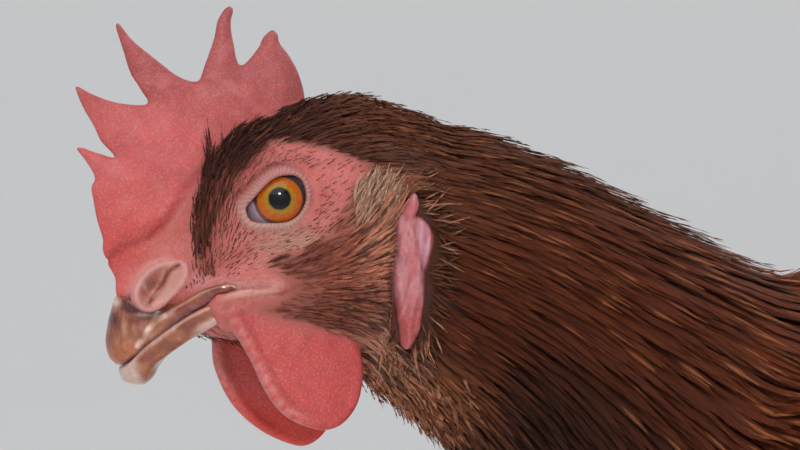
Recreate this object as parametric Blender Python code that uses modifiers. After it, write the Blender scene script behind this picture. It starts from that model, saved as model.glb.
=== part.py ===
"""A brown laying hen at life size, modelled as the outline of its plumage.

The hen stands with its body level and its neck stretched forward and up. The solids are the
plain masses of the bird: head, neck and trunk are one lofted body parted by thin cuts, and the
bill, comb, wattles, ear lobes, eyes, wings, tail and legs are set against it.

Places are given in millimetres as (forward, up, left) of the hen's eye line, because the head is
the part that everything else is measured from. `at` turns them into metres, with +Z up, the hen
facing -Y and its left side at +X.
"""

import math

import bmesh
import bpy
from mathutils import Matrix, Vector

MM = 0.001

# Driving sizes, in millimetres
EYE_HEIGHT = 295.0  # eye line above the floor
GAP = 0.3  # clearance between neighbouring pieces
RING_POINTS = 24  # points round the head, neck and trunk

# The body's outline in the middle plane, from bill to tail: each row is a flat section through
# the body, as its top (forward, up), its bottom (forward, up), its half width, and how far the
# widest part sits below the middle.
BODY = [
    ((25.0, -15.5), (15.5, -25.5), 6.2, 0.00),  # bill root
    ((19.5, -4.0), (7.0, -27.5), 9.6, 0.05),  # lores
    ((6.0, 13.5), (-3.0, -29.0), 13.6, 0.05),  # eyes
    ((-14.0, 20.5), (-14.0, -31.5), 17.0, 0.10),  # ears
    ((-34.0, 17.5), (-27.0, -42.0), 20.5, 0.10),  # nape and throat
    ((-58.0, 10.5), (-44.0, -58.0), 26.5, 0.10),  # middle of the neck
    ((-84.0, -2.5), (-57.0, -84.0), 38.0, 0.12),  # root of the neck
    ((-108.0, -12.5), (-72.0, -122.0), 55.0, 0.12),  # shoulders
    ((-138.0, -7.0), (-105.0, -153.0), 66.0, 0.10),  # breast
    ((-184.0, -1.0), (-166.0, -168.0), 70.0, 0.05),  # middle of the back and belly
    ((-230.0, -1.0), (-232.0, -158.0), 66.0, 0.00),  # rump
    ((-266.0, 9.0), (-282.0, -122.0), 50.0, 0.00),  # vent
    ((-290.0, 26.0), (-311.0, -74.0), 27.0, 0.00),  # root of the tail
    ((-300.0, 34.0), (-322.0, -42.0), 13.0, 0.00),  # end of the fluff
]
NECK_CUT, TRUNK_CUT = 4, 6  # the rows where the head ends and where the neck ends
STEPS = 3  # sections from one row of BODY to the next

EYE_FORWARD, EYE_UP, EYE_LEFT = -1.2, -1.2, 7.9  # centre of the eyeball
EYE_RADIUS, EYE_AXIAL = 7.4, 6.6
EYE_TURN = 12.0  # degrees that the eyes look forward of straight sideways

COMB_ROOT_THICK, COMB_TIP_THICK = 6.5, 2.8
FOOT_LEFT, FOOT_FORWARD = 41.0, -175.0
ANKLE_UP, HOCK_UP = 16.0, 97.0  # heights above the floor
TOE_SINK = 0.7  # how much of each round toe the floor flattens


def at(forward, up, left=0.0):
    """A place in metres from one measured in millimetres from the eye line."""
    return Vector((left, -forward, EYE_HEIGHT + up)) * MM


def floor_up(height):
    """A height above the floor as a height above the eye line."""
    return height - EYE_HEIGHT


# ---------------------------------------------------------------- scene, materials and lofts


def clear_scene():
    for obj in list(bpy.data.objects):
        bpy.data.objects.remove(obj)


def collection(name):
    made = bpy.data.collections.new(name)
    bpy.context.scene.collection.children.link(made)
    return made


def material(name, colour, roughness):
    made = bpy.data.materials.new(name)
    made.use_nodes = True
    shader = made.node_tree.nodes["Principled BSDF"]
    shader.inputs["Base Color"].default_value = (*colour, 1.0)
    shader.inputs["Roughness"].default_value = roughness
    shader.inputs["Metallic"].default_value = 0.0
    return made


def add_object(name, mesh, paint, smooth_below=50.0):
    """Links a mesh to the hen's collection under the hen's origin, shaded smooth."""
    obj = bpy.data.objects.new(name, mesh)
    hen.objects.link(obj)
    obj.parent = origin
    mesh.materials.append(paint)
    mesh.shade_smooth()
    mesh.set_sharp_from_angle(angle=math.radians(smooth_below))
    return obj


def loft(name, rings):
    """A closed mesh skinned over rings of equally many points, with a flat cap at each end."""
    shape = bmesh.new()
    rows = [[shape.verts.new(point) for point in ring] for ring in rings]
    count = len(rows[0])
    for near, far in zip(rows, rows[1:]):
        for i in range(count):
            j = (i + 1) % count
            shape.faces.new((near[i], near[j], far[j], far[i]))
    shape.faces.new(reversed(rows[0]))
    shape.faces.new(rows[-1])
    bmesh.ops.recalc_face_normals(shape, faces=shape.faces)
    mesh = bpy.data.meshes.new(name)
    shape.to_mesh(mesh)
    shape.free()
    return mesh


def between(rows, place):
    """The row at a fractional place in a table, on a smooth curve through its rows."""
    last = len(rows) - 1
    i = min(int(place), last - 1)
    t = place - i
    flat = [flatten(rows[min(max(k, 0), last)]) for k in (i - 1, i, i + 1, i + 2)]
    mixed = []
    for a, b, c, d in zip(*flat):
        slope_in, slope_out = (c - a) / 2, (d - b) / 2
        mixed.append(
            (2 * t**3 - 3 * t**2 + 1) * b
            + (t**3 - 2 * t**2 + t) * slope_in
            + (3 * t**2 - 2 * t**3) * c
            + (t**3 - t**2) * slope_out
        )
    return mixed


def flatten(row):
    """A table's row as one list of numbers."""
    numbers = []
    for value in row:
        numbers.extend(value if isinstance(value, tuple) else (value,))
    return numbers


def section_point(row, angle):
    """A point on a section, as (forward, up, left), at an angle from its top towards the left."""
    top_f, top_u, low_f, low_u, half_width, low = row
    along = math.cos(angle)
    forward = (top_f + low_f) / 2 + (top_f - low_f) / 2 * along
    up = (top_u + low_u) / 2 + (top_u - low_u) / 2 * along
    return forward, up, half_width * math.sin(angle) * (1 - low * along)


def section(row, points=RING_POINTS, shift=0.0):
    """A ring of points in metres round a section, moved by `shift` mm along the body."""
    top_f, top_u, low_f, low_u = row[:4]
    height = math.hypot(top_f - low_f, top_u - low_u)
    ahead = ((top_u - low_u) / height, -(top_f - low_f) / height)
    ring = []
    for k in range(points):
        forward, up, left = section_point(row, 2 * math.pi * k / points)
        ring.append(at(forward + shift * ahead[0], up + shift * ahead[1], left))
    return ring


def body_mesh(name, first, last, open_front=0.0, open_back=0.0):
    """The stretch of body from one row of BODY to another, drawn back by each end's opening."""
    count = (last - first) * STEPS
    rings = []
    for k in range(count + 1):
        shift = -open_front if k == 0 else open_back if k == count else 0.0
        rings.append(section(between(BODY, first + k / STEPS), shift=shift))
    return loft(name, rings)


# ---------------------------------------------------------------- cutters


def grown_cutter(name, mesh, by=GAP):
    """A hidden copy of a mesh, larger by the clearance, for cutting a neighbour back."""
    cutter = bpy.data.objects.new("cutter_" + name, mesh.copy())
    cutters.objects.link(cutter)
    cutter.parent = origin
    cutter.hide_render = True
    cutter.display_type = "WIRE"
    if by:
        swell = cutter.modifiers.new("clearance", "DISPLACE")
        swell.strength = by * MM
        swell.mid_level = 0.0
    return cutter


def cut(obj, cutter):
    trim = obj.modifiers.new("trim", "BOOLEAN")
    trim.operation = "DIFFERENCE"
    trim.solver = "EXACT"
    trim.object = cutter


def joined(obj, other):
    join = obj.modifiers.new("join", "BOOLEAN")
    join.operation = "UNION"
    join.solver = "EXACT"
    join.object = other


def tube_mesh(name, route, radii, sides=2):
    """A round tapering tube through points in metres, with welded caps."""
    line = bpy.data.curves.new(name, "CURVE")
    line.dimensions = "3D"
    line.bevel_depth = MM
    line.bevel_resolution = sides
    line.use_fill_caps = True
    line.resolution_u = 1
    spline = line.splines.new("POLY")
    spline.points.add(len(route) - 1)
    for point, place, radius in zip(spline.points, route, radii):
        point.co = (*place, 1.0)
        point.radius = radius
    return mesh_from_curve(name, line)


def mesh_from_curve(name, line):
    """A curve's evaluated shape as a mesh with its loose caps welded on."""
    holder = bpy.data.objects.new(name + "_line", line)
    bpy.context.scene.collection.objects.link(holder)
    graph = bpy.context.evaluated_depsgraph_get()
    mesh = bpy.data.meshes.new_from_object(holder.evaluated_get(graph))
    bpy.data.objects.remove(holder)
    shape = bmesh.new()
    shape.from_mesh(mesh)
    bmesh.ops.remove_doubles(shape, verts=shape.verts, dist=0.00001)
    bmesh.ops.recalc_face_normals(shape, faces=shape.faces)
    shape.to_mesh(mesh)
    shape.free()
    return mesh


def stack(name, rows, points=12):
    """A mesh of level oval rings. Each row is (forward, up, left, half length, half width)."""
    rings = []
    for forward, up, left, half_length, half_width in rows:
        ring = []
        for k in range(points):
            angle = 2 * math.pi * k / points
            ring.append(
                at(
                    forward + half_length * math.cos(angle),
                    up,
                    left + half_width * math.sin(angle),
                )
            )
        rings.append(ring)
    return loft(name, rings)


# ---------------------------------------------------------------- head


def add_body():
    """Head, neck and trunk, parted by thin cuts across the body."""
    half = GAP / 2
    last = len(BODY) - 1
    plumage = {
        "head": (0, NECK_CUT, 0.0, half),
        "neck": (NECK_CUT, TRUNK_CUT, half, half),
        "trunk": (TRUNK_CUT, last, half, 0.0),
    }
    made = {}
    for name, (first, final, front, back) in plumage.items():
        made[name] = add_object(name, body_mesh(name, first, final, front, back), russet)
    return made


def add_eyes(head):
    """Eyeballs set in sockets of the head, looking sideways and a little forward."""
    for side, name in ((1, "eye_left"), (-1, "eye_right")):
        ball = bmesh.new()
        bmesh.ops.create_uvsphere(ball, u_segments=16, v_segments=10, radius=EYE_RADIUS * MM)
        flat = Matrix.Diagonal((1.0, 1.0, EYE_AXIAL / EYE_RADIUS, 1.0))
        sideways = Matrix.Rotation(math.radians(90.0), 4, "Y")
        turn = Matrix.Rotation(math.radians(-EYE_TURN), 4, "Z")
        mirror = Matrix.Diagonal((side, 1.0, 1.0, 1.0))
        place = Matrix.Translation(at(EYE_FORWARD, EYE_UP, side * EYE_LEFT))
        bmesh.ops.transform(ball, matrix=place @ mirror @ turn @ sideways @ flat, verts=ball.verts)
        bmesh.ops.recalc_face_normals(ball, faces=ball.faces)
        mesh = bpy.data.meshes.new(name)
        ball.to_mesh(mesh)
        ball.free()
        add_object(name, mesh, amber)
        cut(head, grown_cutter(name, mesh))


UPPER_BILL = [  # from inside the head to the hooked tip, in the same terms as BODY
    ((22.0, -12.5), (14.0, -19.0), 5.0, 0.30),
    ((28.2, -18.3), (18.8, -22.4), 6.2, 0.30),
    ((29.9, -22.2), (21.8, -25.5), 5.3, 0.30),
    ((30.5, -26.2), (24.6, -28.4), 4.1, 0.30),
    ((30.0, -29.6), (26.8, -30.6), 2.6, 0.20),
    ((28.9, -32.0), (28.0, -32.2), 0.9, 0.00),
]
LOWER_BILL = [
    ((13.0, -19.5), (7.5, -24.5), 4.6, 0.00),
    ((18.4, -23.4), (14.0, -27.0), 5.7, 0.00),
    ((21.4, -26.5), (17.9, -29.5), 4.9, 0.00),
    ((24.0, -29.6), (20.4, -32.3), 4.2, 0.00),
    ((25.9, -32.3), (22.4, -34.9), 3.7, 0.00),
    ((26.8, -34.3), (24.9, -35.7), 2.2, 0.00),
]


def bill_mesh(name, rows):
    steps = 2
    count = (len(rows) - 1) * steps
    rings = [section(between(rows, k / steps), points=14) for k in range(count + 1)]
    return loft(name, rings)


def add_bill(whole_body):
    upper_mesh = bill_mesh("bill_upper", UPPER_BILL)
    upper = add_object("bill_upper", upper_mesh, horn)
    lower = add_object("bill_lower", bill_mesh("bill_lower", LOWER_BILL), horn)
    upper_cutter = grown_cutter("bill_upper", upper_mesh)
    for piece in (upper, lower):
        cut(piece, whole_body)
    cut(lower, upper_cutter)
    return upper_cutter


COMB_SPIKES = [  # from front to back: each spike's foot in front, tip and foot behind
    ((32.8, 3.9), (36.5, 9.2), (29.0, 7.8)),
    ((29.0, 7.8), (36.8, 20.8), (22.4, 17.5)),
    ((22.4, 17.5), (28.1, 33.0), (13.2, 21.7)),
    ((13.2, 21.7), (5.6, 36.6), (3.8, 24.5)),
    ((3.8, 24.5), (-2.8, 32.0), (-8.2, 24.0)),
]
COMB_FRONT = [(20.0, -14.0), (27.4, -18.0), (30.6, -13.6), (32.2, -8.0), (32.9, -1.5)]
COMB_BACK = [(-10.0, 17.0), (-4.0, 8.0), (10.0, -2.0)]


def spike_outline(foot, tip, back):
    """One spike: sides that curve in towards a blunt tip."""
    foot, tip, back = Vector(foot), Vector(tip), Vector(back)
    middle = (foot + back) / 2
    points = [foot]
    for share in (0.35, 0.7):
        points.append(foot.lerp(tip, share).lerp(middle.lerp(tip, share), 0.14))
    across = (back - foot).normalized() * 1.0
    points += [tip - across, tip + across]
    for share in (0.7, 0.35):
        points.append(back.lerp(tip, share).lerp(middle.lerp(tip, share), 0.14))
    return points


def add_comb(whole_body, upper_bill):
    """The single comb: a fleshy plate along the crown, thick at its root and thin at its spikes."""
    outline = [Vector(p) for p in COMB_FRONT]
    for foot, tip, back in COMB_SPIKES:
        outline += spike_outline(foot, tip, back)
    outline += [Vector(p) for p in COMB_BACK]
    line = bpy.data.curves.new("comb", "CURVE")
    line.dimensions = "2D"
    line.fill_mode = "BOTH"
    line.extrude = 0.5
    line.bevel_depth = 0.5
    line.bevel_resolution = 1
    line.offset = -0.5
    spline = line.splines.new("POLY")
    spline.points.add(len(outline) - 1)
    spline.use_cyclic_u = True
    for point, (forward, up) in zip(spline.points, outline):
        point.co = (forward, up, 0.0, 1.0)
    mesh = mesh_from_curve("comb", line)
    for vertex in mesh.vertices:
        forward, up, side = vertex.co
        rise = math.hypot(forward - 6.0, up + 6.0)  # distance from the middle of the skull
        share = min(max((rise - 16.0) / 24.0, 0.0), 1.0)
        thick = COMB_ROOT_THICK + (COMB_TIP_THICK - COMB_ROOT_THICK) * share
        lean = comb_lean(forward, up)
        vertex.co = at(forward, up, side * thick / 2 + lean)
    comb = add_object("comb", mesh, red_flesh)
    cut(comb, whole_body)
    cut(comb, upper_bill)


def comb_lean(forward, up):
    """How far to the left the comb stands, its last two spikes leaning to the right."""
    height = min(max((up - 14.0) / 20.0, 0.0), 1.0)
    behind = min(max((16.0 - forward) / 10.0, 0.0), 1.0)
    return 0.6 - 4.0 * height * behind


WATTLES = {  # centre (forward, up, left), half width and half height of each hanging flap
    "wattle_left": (-4.2, -32.2, 11.3, 11.2, 12.4),
    "wattle_right": (-3.2, -34.4, -10.0, 11.2, 13.4),
}
WATTLE_THICK = 3.6


def add_wattles(whole_body):
    """Round flaps that hang from the jaw, a little slanted outwards."""
    for name, (forward, up, left, half_width, half_height) in WATTLES.items():
        flap = bmesh.new()
        bmesh.ops.create_uvsphere(flap, u_segments=18, v_segments=8, radius=1.0)
        for vertex in flap.verts:
            across, rise, side = vertex.co
            taper = 1.0 - 0.16 * rise
            spread = math.copysign(0.10 * half_height * -rise, left)
            vertex.co = at(
                forward + across * half_width * taper - 1.5 * rise,
                up + rise * half_height,
                left + side * WATTLE_THICK / 2 + spread,
            )
        bmesh.ops.recalc_face_normals(flap, faces=flap.faces)
        mesh = bpy.data.meshes.new(name)
        flap.to_mesh(mesh)
        flap.free()
        cut(add_object(name, mesh, red_flesh), whole_body)


def add_ear_lobes(whole_body):
    """Long narrow folds of bare skin below and behind each ear."""
    for side, name in ((1, "ear_lobe_left"), (-1, "ear_lobe_right")):
        lobe = bmesh.new()
        bmesh.ops.create_uvsphere(lobe, u_segments=10, v_segments=10, radius=1.0)
        for vertex in lobe.verts:
            out, along, rise = vertex.co
            vertex.co = at(-25.2 + 3.6 * along, -14.6 + 14.6 * rise, side * (17.2 + 3.6 * out))
        bmesh.ops.recalc_face_normals(lobe, faces=lobe.faces)
        mesh = bpy.data.meshes.new(name)
        lobe.to_mesh(mesh)
        lobe.free()
        cut(add_object(name, mesh, pink_flesh), whole_body)


# ---------------------------------------------------------------- wings and tail

WING_START, WING_END = 6.8, 12.1  # rows of BODY that the folded wing reaches
WING_MIDDLE_START, WING_MIDDLE_END = 70.0, 46.0  # degrees from the top of the back
WING_HALF_SPAN = 36.0  # degrees from the wing's middle line to its edges
WING_THICK = 7.0


def wing_ring(share, side, across=8):
    """One section of a folded wing, which lies on the body like a bowed plate."""
    place = WING_START + (WING_END - WING_START) * share
    fullness = math.sin(math.pi * max(share, 0.004) ** 0.52) ** 0.6
    middle = WING_MIDDLE_START + (WING_MIDDLE_END - WING_MIDDLE_START) * share
    outside, inside = [], []
    for k in range(across + 1):
        spread = 2 * k / across - 1
        angle = math.radians(middle + WING_HALF_SPAN * fullness * spread)
        row = between(BODY, place)
        here = Vector(section_point(row, angle))
        ahead = Vector(section_point(between(BODY, place - 0.05), angle))
        below = Vector(section_point(row, angle + 0.03))
        normal = (below - here).cross(ahead - here).normalized()
        if normal.z < 0:
            normal = -normal
        bow = 1.2 + WING_THICK * fullness * math.cos(spread * math.pi / 2) ** 0.7
        out, deep = here + normal * bow, here - normal * 2.0
        outside.append(at(out.x, out.y, out.z * side))
        inside.append(at(deep.x, deep.y, deep.z * side))
    return outside + inside[::-1]


def add_wings(whole_body):
    for side, name in ((1, "wing_left"), (-1, "wing_right")):
        sections = 14
        rings = [wing_ring(k / sections, side) for k in range(sections + 1)]
        cut(add_object(name, loft(name, rings), russet), whole_body)


TAIL_LENGTH, TAIL_SHORTER = 116.0, 14.0  # longest feathers, and how much less the outer ones are
TAIL_RISE, TAIL_LOWER = 50.0, 36.0  # degrees of the top feathers, and how much lower the outer
TAIL_THICK = 4.0


def add_tail(whole_body):
    """The tail: two rows of stiff feathers that meet in a ridge, like a tent."""
    along, across = 6, 12
    sheet = bmesh.new()
    rows = []
    for i in range(along + 1):
        reach = i / along
        row = []
        for j in range(across + 1):
            side = 2 * j / across - 1
            out = abs(side)
            angle = math.radians(TAIL_RISE - TAIL_LOWER * out)
            length = (TAIL_LENGTH - TAIL_SHORTER * out**2) * reach
            forward = -280.0 - 8.0 * out - length * math.cos(angle)
            up = 2.0 - 30.0 * out + length * math.sin(angle)
            left = side * (9.0 + 21.0 * reach)
            row.append(sheet.verts.new(at(forward, up, left)))
        rows.append(row)
    for near, far in zip(rows, rows[1:]):
        for j in range(across):
            sheet.faces.new((near[j], near[j + 1], far[j + 1], far[j]))
    bmesh.ops.recalc_face_normals(sheet, faces=sheet.faces)
    mesh = bpy.data.meshes.new("tail")
    sheet.to_mesh(mesh)
    sheet.free()
    tail = add_object("tail", mesh, dark_russet)
    thick = tail.modifiers.new("thickness", "SOLIDIFY")
    thick.thickness = TAIL_THICK * MM
    thick.offset = 0.0
    cut(tail, whole_body)


# ---------------------------------------------------------------- legs

THIGH = [  # height above the eye line, forward, half length and half width of each section
    (-112.0, -176.0, 34.0, 20.0),
    (-142.0, -178.0, 33.0, 22.0),
    (-164.0, -183.0, 27.0, 19.5),
    (-183.0, -190.0, 17.0, 13.5),
    (-194.0, -194.5, 10.5, 9.5),
    (-198.0, -196.0, 8.0, 7.6),
]
SHANK = [  # share of the way down, half length, half width
    (0.0, 7.2, 6.2),
    (0.12, 6.4, 5.6),
    (0.35, 5.4, 4.9),
    (0.7, 5.5, 5.2),
    (1.0, 6.6, 6.8),
]
HOCK_FORWARD = -196.0
TOES = {  # turn from straight ahead, length to the claw, radius at root and tip, height of root
    "inner": (-34.0, 40.0, 4.9, 3.4, 7.0),
    "middle": (2.0, 58.0, 5.3, 3.6, 8.0),
    "outer": (38.0, 46.0, 4.9, 3.3, 7.0),
    "hind": (-162.0, 24.0, 4.2, 3.0, 9.0),
}
CLAW_LENGTH = {"inner": 12.0, "middle": 14.0, "outer": 11.0, "hind": 12.0}


def toe_direction(turn, side):
    """Level direction of a toe as (forward, left), turned outwards from straight ahead."""
    angle = math.radians(turn)
    return math.cos(angle), math.sin(angle) * side


def toe_route(size, side):
    turn, length, root, tip, height = size
    ahead, out = toe_direction(turn, side)
    route, radii = [], []
    for share in (0.0, 0.22, 0.45, 0.66, 0.86, 1.0):
        radius = root + (tip - root) * share
        pad = 1.0 + 0.07 * math.cos(share * math.pi * 6)
        lift = (height - radius) * (1 - share) ** 3
        route.append(
            at(
                FOOT_FORWARD + ahead * length * share,
                floor_up(radius * pad - TOE_SINK + lift),
                side * FOOT_LEFT + out * length * share,
            )
        )
        radii.append(radius * pad)
    return route, radii


def claw_route(size, claw_length, side):
    turn, length, _, tip, _ = size
    ahead, out = toe_direction(turn, side)
    route, radii = [], []
    for share in (0.0, 0.3, 0.6, 0.85, 1.0):
        reach = length - 2.0 + (claw_length + 2.0) * share
        arch = 1.3 * math.sin(share * math.pi * 0.8)
        height = tip * (1 - share) + 0.9 * share + arch
        route.append(
            at(
                FOOT_FORWARD + ahead * reach,
                floor_up(height),
                side * FOOT_LEFT + out * reach,
            )
        )
        radii.append(2.5 * (1 - share) + 0.6 * share)
    return route, radii


def floor_cutter():
    """A block under the floor, which flattens the soles of the toes."""
    block = bmesh.new()
    bmesh.ops.create_cube(block, size=1.0)
    matrix = Matrix.Translation((0, 0.17, -0.01)) @ Matrix.Diagonal((0.3, 0.3, 0.02, 1.0))
    bmesh.ops.transform(block, matrix=matrix, verts=block.verts)
    mesh = bpy.data.meshes.new("floor")
    block.to_mesh(mesh)
    block.free()
    return grown_cutter("floor", mesh, by=0.0)


def add_leg(side, word, whole_body, floor):
    """One leg: feathered thigh, scaled shank, a foot of four toes, and their claws."""
    left = side * FOOT_LEFT
    rows = [(forward, up, left * 0.95, fore, wide) for up, forward, fore, wide in THIGH]
    thigh = add_object(f"thigh_{word}", stack(f"thigh_{word}", rows, points=16), russet)
    cut(thigh, whole_body)

    rows = []
    top, low = floor_up(HOCK_UP - GAP), floor_up(ANKLE_UP)
    for share, fore, wide in SHANK:
        forward = HOCK_FORWARD + (FOOT_FORWARD - 3.0 - HOCK_FORWARD) * share
        slide = left * (0.95 + 0.05 * share)
        rows.append((forward, top + (low - top) * share, slide, fore, wide))
    add_object(f"shank_{word}", stack(f"shank_{word}", rows), yellow_scale)

    ankle = [
        (FOOT_FORWARD - 3.0, floor_up(ANKLE_UP - GAP), left, 6.6, 6.8),
        (FOOT_FORWARD - 1.5, floor_up(9.0), left, 7.6, 8.0),
        (FOOT_FORWARD - 0.5, floor_up(2.5), left, 5.6, 6.2),
        (FOOT_FORWARD - 0.5, floor_up(-TOE_SINK), left, 4.0, 4.4),
    ]
    foot = add_object(f"foot_{word}", stack(f"foot_{word}", ankle), yellow_scale)
    for toe, size in TOES.items():
        toe_mesh = tube_mesh(f"toe_{toe}_{word}", *toe_route(size, side))
        joined(foot, grown_cutter(f"toe_{toe}_{word}", toe_mesh, by=0.0))
        claw_mesh = tube_mesh(
            f"claw_{toe}_{word}", *claw_route(size, CLAW_LENGTH[toe], side), sides=1
        )
        claw = add_object(f"claw_{toe}_{word}", claw_mesh, claw_horn)
        cut(claw, grown_cutter(f"clear_{toe}_{word}", toe_mesh))
        cut(claw, floor)
    cut(foot, floor)


# ---------------------------------------------------------------- the whole hen


def centre_on_floor():
    """Moves the hen so that the middle of its plan lies over the origin."""
    bpy.context.view_layer.update()
    graph = bpy.context.evaluated_depsgraph_get()
    low, high = Vector((1, 1, 1)), Vector((-1, -1, -1))
    for obj in hen.objects:
        if obj.type != "MESH":
            continue
        shape = obj.evaluated_get(graph)
        for corner in shape.bound_box:
            place = shape.matrix_world @ Vector(corner)
            low = Vector(map(min, low, place))
            high = Vector(map(max, high, place))
    middle = (low + high) / 2
    origin.location = (-middle.x, -middle.y, 0.0)


clear_scene()
hen = collection("hen")
cutters = collection("cutters")
origin = bpy.data.objects.new("hen_origin", None)
hen.objects.link(origin)

russet = material("russet_plumage", (0.23, 0.075, 0.03), 0.6)
dark_russet = material("dark_russet_plumage", (0.14, 0.045, 0.02), 0.55)
red_flesh = material("red_flesh", (0.66, 0.09, 0.08), 0.45)
pink_flesh = material("pink_flesh", (0.72, 0.24, 0.24), 0.45)
horn = material("bill_horn", (0.36, 0.2, 0.12), 0.35)
claw_horn = material("claw_horn", (0.45, 0.34, 0.24), 0.4)
amber = material("amber_eye", (0.75, 0.25, 0.02), 0.1)
yellow_scale = material("yellow_scales", (0.72, 0.5, 0.2), 0.5)

parts = add_body()
body_cutter = grown_cutter("body", body_mesh("body", 0, len(BODY) - 1))
add_eyes(parts["head"])
bill_cutter = add_bill(body_cutter)
add_comb(body_cutter, bill_cutter)
add_wattles(body_cutter)
add_ear_lobes(body_cutter)
add_wings(body_cutter)
add_tail(body_cutter)
ground = floor_cutter()
for left_or_right, side_word in ((1, "left"), (-1, "right")):
    add_leg(left_or_right, side_word, body_cutter, ground)
centre_on_floor()
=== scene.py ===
"""A brown laying hen at life size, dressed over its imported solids.

The hen faces -Y and its left side is at +X. Places are measured in millimetres from the eye line,
as (fore, up, left), because the head is what the rest of the bird was measured from.
"""

from functools import partial
from math import copysign, cos, pi, radians, sin

import bpy
import numpy as np
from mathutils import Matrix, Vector
from mathutils.bvhtree import BVHTree


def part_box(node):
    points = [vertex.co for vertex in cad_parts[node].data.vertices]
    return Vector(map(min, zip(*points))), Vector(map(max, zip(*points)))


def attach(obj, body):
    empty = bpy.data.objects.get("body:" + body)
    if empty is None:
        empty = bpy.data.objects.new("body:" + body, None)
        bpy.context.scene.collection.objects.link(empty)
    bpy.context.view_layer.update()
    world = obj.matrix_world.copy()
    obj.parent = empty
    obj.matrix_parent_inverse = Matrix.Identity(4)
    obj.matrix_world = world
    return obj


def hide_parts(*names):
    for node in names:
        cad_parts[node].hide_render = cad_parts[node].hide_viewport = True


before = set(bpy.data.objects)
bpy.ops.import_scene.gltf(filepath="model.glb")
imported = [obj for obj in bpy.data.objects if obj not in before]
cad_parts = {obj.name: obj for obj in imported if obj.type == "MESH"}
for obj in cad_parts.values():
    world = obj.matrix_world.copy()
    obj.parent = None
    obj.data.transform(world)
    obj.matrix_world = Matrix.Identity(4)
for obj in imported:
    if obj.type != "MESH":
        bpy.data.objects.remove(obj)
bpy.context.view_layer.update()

# ---------------- the body under the feathers
# Muscle and skin from the nape to the parson's nose, with the thighs. It is hidden by the coat,
# so it only needs the bird's form, drawn in from the outline by the depth of the feathers.

MM = 0.001
eye_low, eye_high = (np.array(corner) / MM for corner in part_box("eye_left"))
EYE_FORE, EYE_UP, EYE_LEFT = -1.2, -1.2, 7.9  # the middle of the left eyeball
ZERO_Y = (eye_low[1] + eye_high[1]) / 2 + EYE_FORE  # where fore is 0
ZERO_Z = (eye_low[2] + eye_high[2]) / 2 - EYE_UP  # where up is 0


def to_world(hen_places):
    """Metres in the frame from (fore, up, left) in millimetres, on the last axis."""
    fore, up, left = np.moveaxis(np.asarray(hen_places, float), -1, 0)
    return np.stack([left, ZERO_Y - fore, ZERO_Z + up], -1) * MM


def to_hen(world_places):
    """(fore, up, left) in millimetres from metres in the frame."""
    x, y, z = np.moveaxis(np.asarray(world_places, float) / MM, -1, 0)
    return np.stack([ZERO_Y - y, z - ZERO_Z, x], -1)


OUTLINE = np.array([  # top (fore, up), bottom (fore, up), half width, sag of the widest part
    (25, -15.5, 15.5, -25.5, 6.2, 0),  # bill root
    (19.5, -4, 7, -27.5, 9.6, 0.05),  # lores
    (6, 13.5, -3, -29, 13.6, 0.05),  # eyes
    (-14, 20.5, -14, -31.5, 17, 0.1),  # ears
    (-34, 17.5, -27, -42, 20.5, 0.1),  # nape and throat
    (-58, 10.5, -44, -58, 26.5, 0.1),  # middle of the neck
    (-84, -2.5, -57, -84, 38, 0.12),  # root of the neck
    (-108, -12.5, -72, -122, 55, 0.12),  # shoulders
    (-138, -7, -105, -153, 66, 0.1),  # breast
    (-184, -1, -166, -168, 70, 0.05),  # middle of the back and belly
    (-230, -1, -232, -158, 66, 0),  # rump
    (-266, 9, -282, -122, 50, 0),  # vent
    (-290, 26, -311, -74, 27, 0),  # root of the tail
    (-300, 34, -322, -42, 13, 0),  # end of the fluff
])
COAT = np.array([  # depth of the feathers at the top, bottom and side of each row
    (0.3, 0.3, 0.3), (0.9, 0.5, 0.5), (1.6, 0.6, 0.6), (2.2, 1.5, 1.2), (4, 5, 3.5),
    (6.5, 7.5, 6.5), (8, 10, 9), (9, 13, 12), (9, 14, 13), (9, 14, 12),
    (10, 15, 12), (12, 17, 12), (13, 17, 9), (11, 12, 6),
])


def along_rows(table, places):
    """Values from a table at fractional rows, on a smooth curve through the rows."""
    places = np.asarray(places, float)
    last = len(table) - 1
    i = np.clip(places.astype(int), 0, last - 1)
    t = (places - i)[..., None]
    a, b, c, d = (table[np.clip(k, 0, last)] for k in (i - 1, i, i + 1, i + 2))
    return (
        (2 * t**3 - 3 * t**2 + 1) * b
        + (t**3 - 2 * t**2 + t) * (c - a) / 2
        + (3 * t**2 - 2 * t**3) * c
        + (t**3 - t**2) * (d - b) / 2
    )


def skin_rows(places, extra=0):
    """Sections of the skin: the outline drawn in by the coat's depth."""
    rows, coat = along_rows(OUTLINE, places), along_rows(COAT, places)
    coat = coat + np.broadcast_to(extra, len(places))[:, None]
    top, low = rows[:, 0:2], rows[:, 2:4]
    down = (low - top) / np.linalg.norm(top - low, axis=1, keepdims=True)
    drawn = rows.copy()
    drawn[:, 0:2] = top + down * coat[:, 0:1]
    drawn[:, 2:4] = low - down * coat[:, 1:2]
    drawn[:, 4] = np.maximum(rows[:, 4] - coat[:, 2], 1)
    return drawn


def find_section(rows, fore, up):
    """Fractional section of each place in the middle plane, and how far it is past each end."""
    low, tall = rows[:, 2:4], rows[:, 0:2] - rows[:, 2:4]
    tall = tall / np.linalg.norm(tall, axis=1, keepdims=True)
    ahead = [
        (fore - low[k, 0]) * tall[k, 1] - (up - low[k, 1]) * tall[k, 0] for k in range(len(rows))
    ]
    place = np.zeros_like(fore)
    for k in range(len(rows) - 1):
        between = (ahead[k] <= 0) & (ahead[k + 1] > 0)
        share = ahead[k] / np.where(between, ahead[k] - ahead[k + 1], 1)
        place = np.where(between, k + share, place)
    place = np.where(ahead[-1] <= 0, len(rows) - 1, place)
    return place, ahead[0], -ahead[-1]


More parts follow.
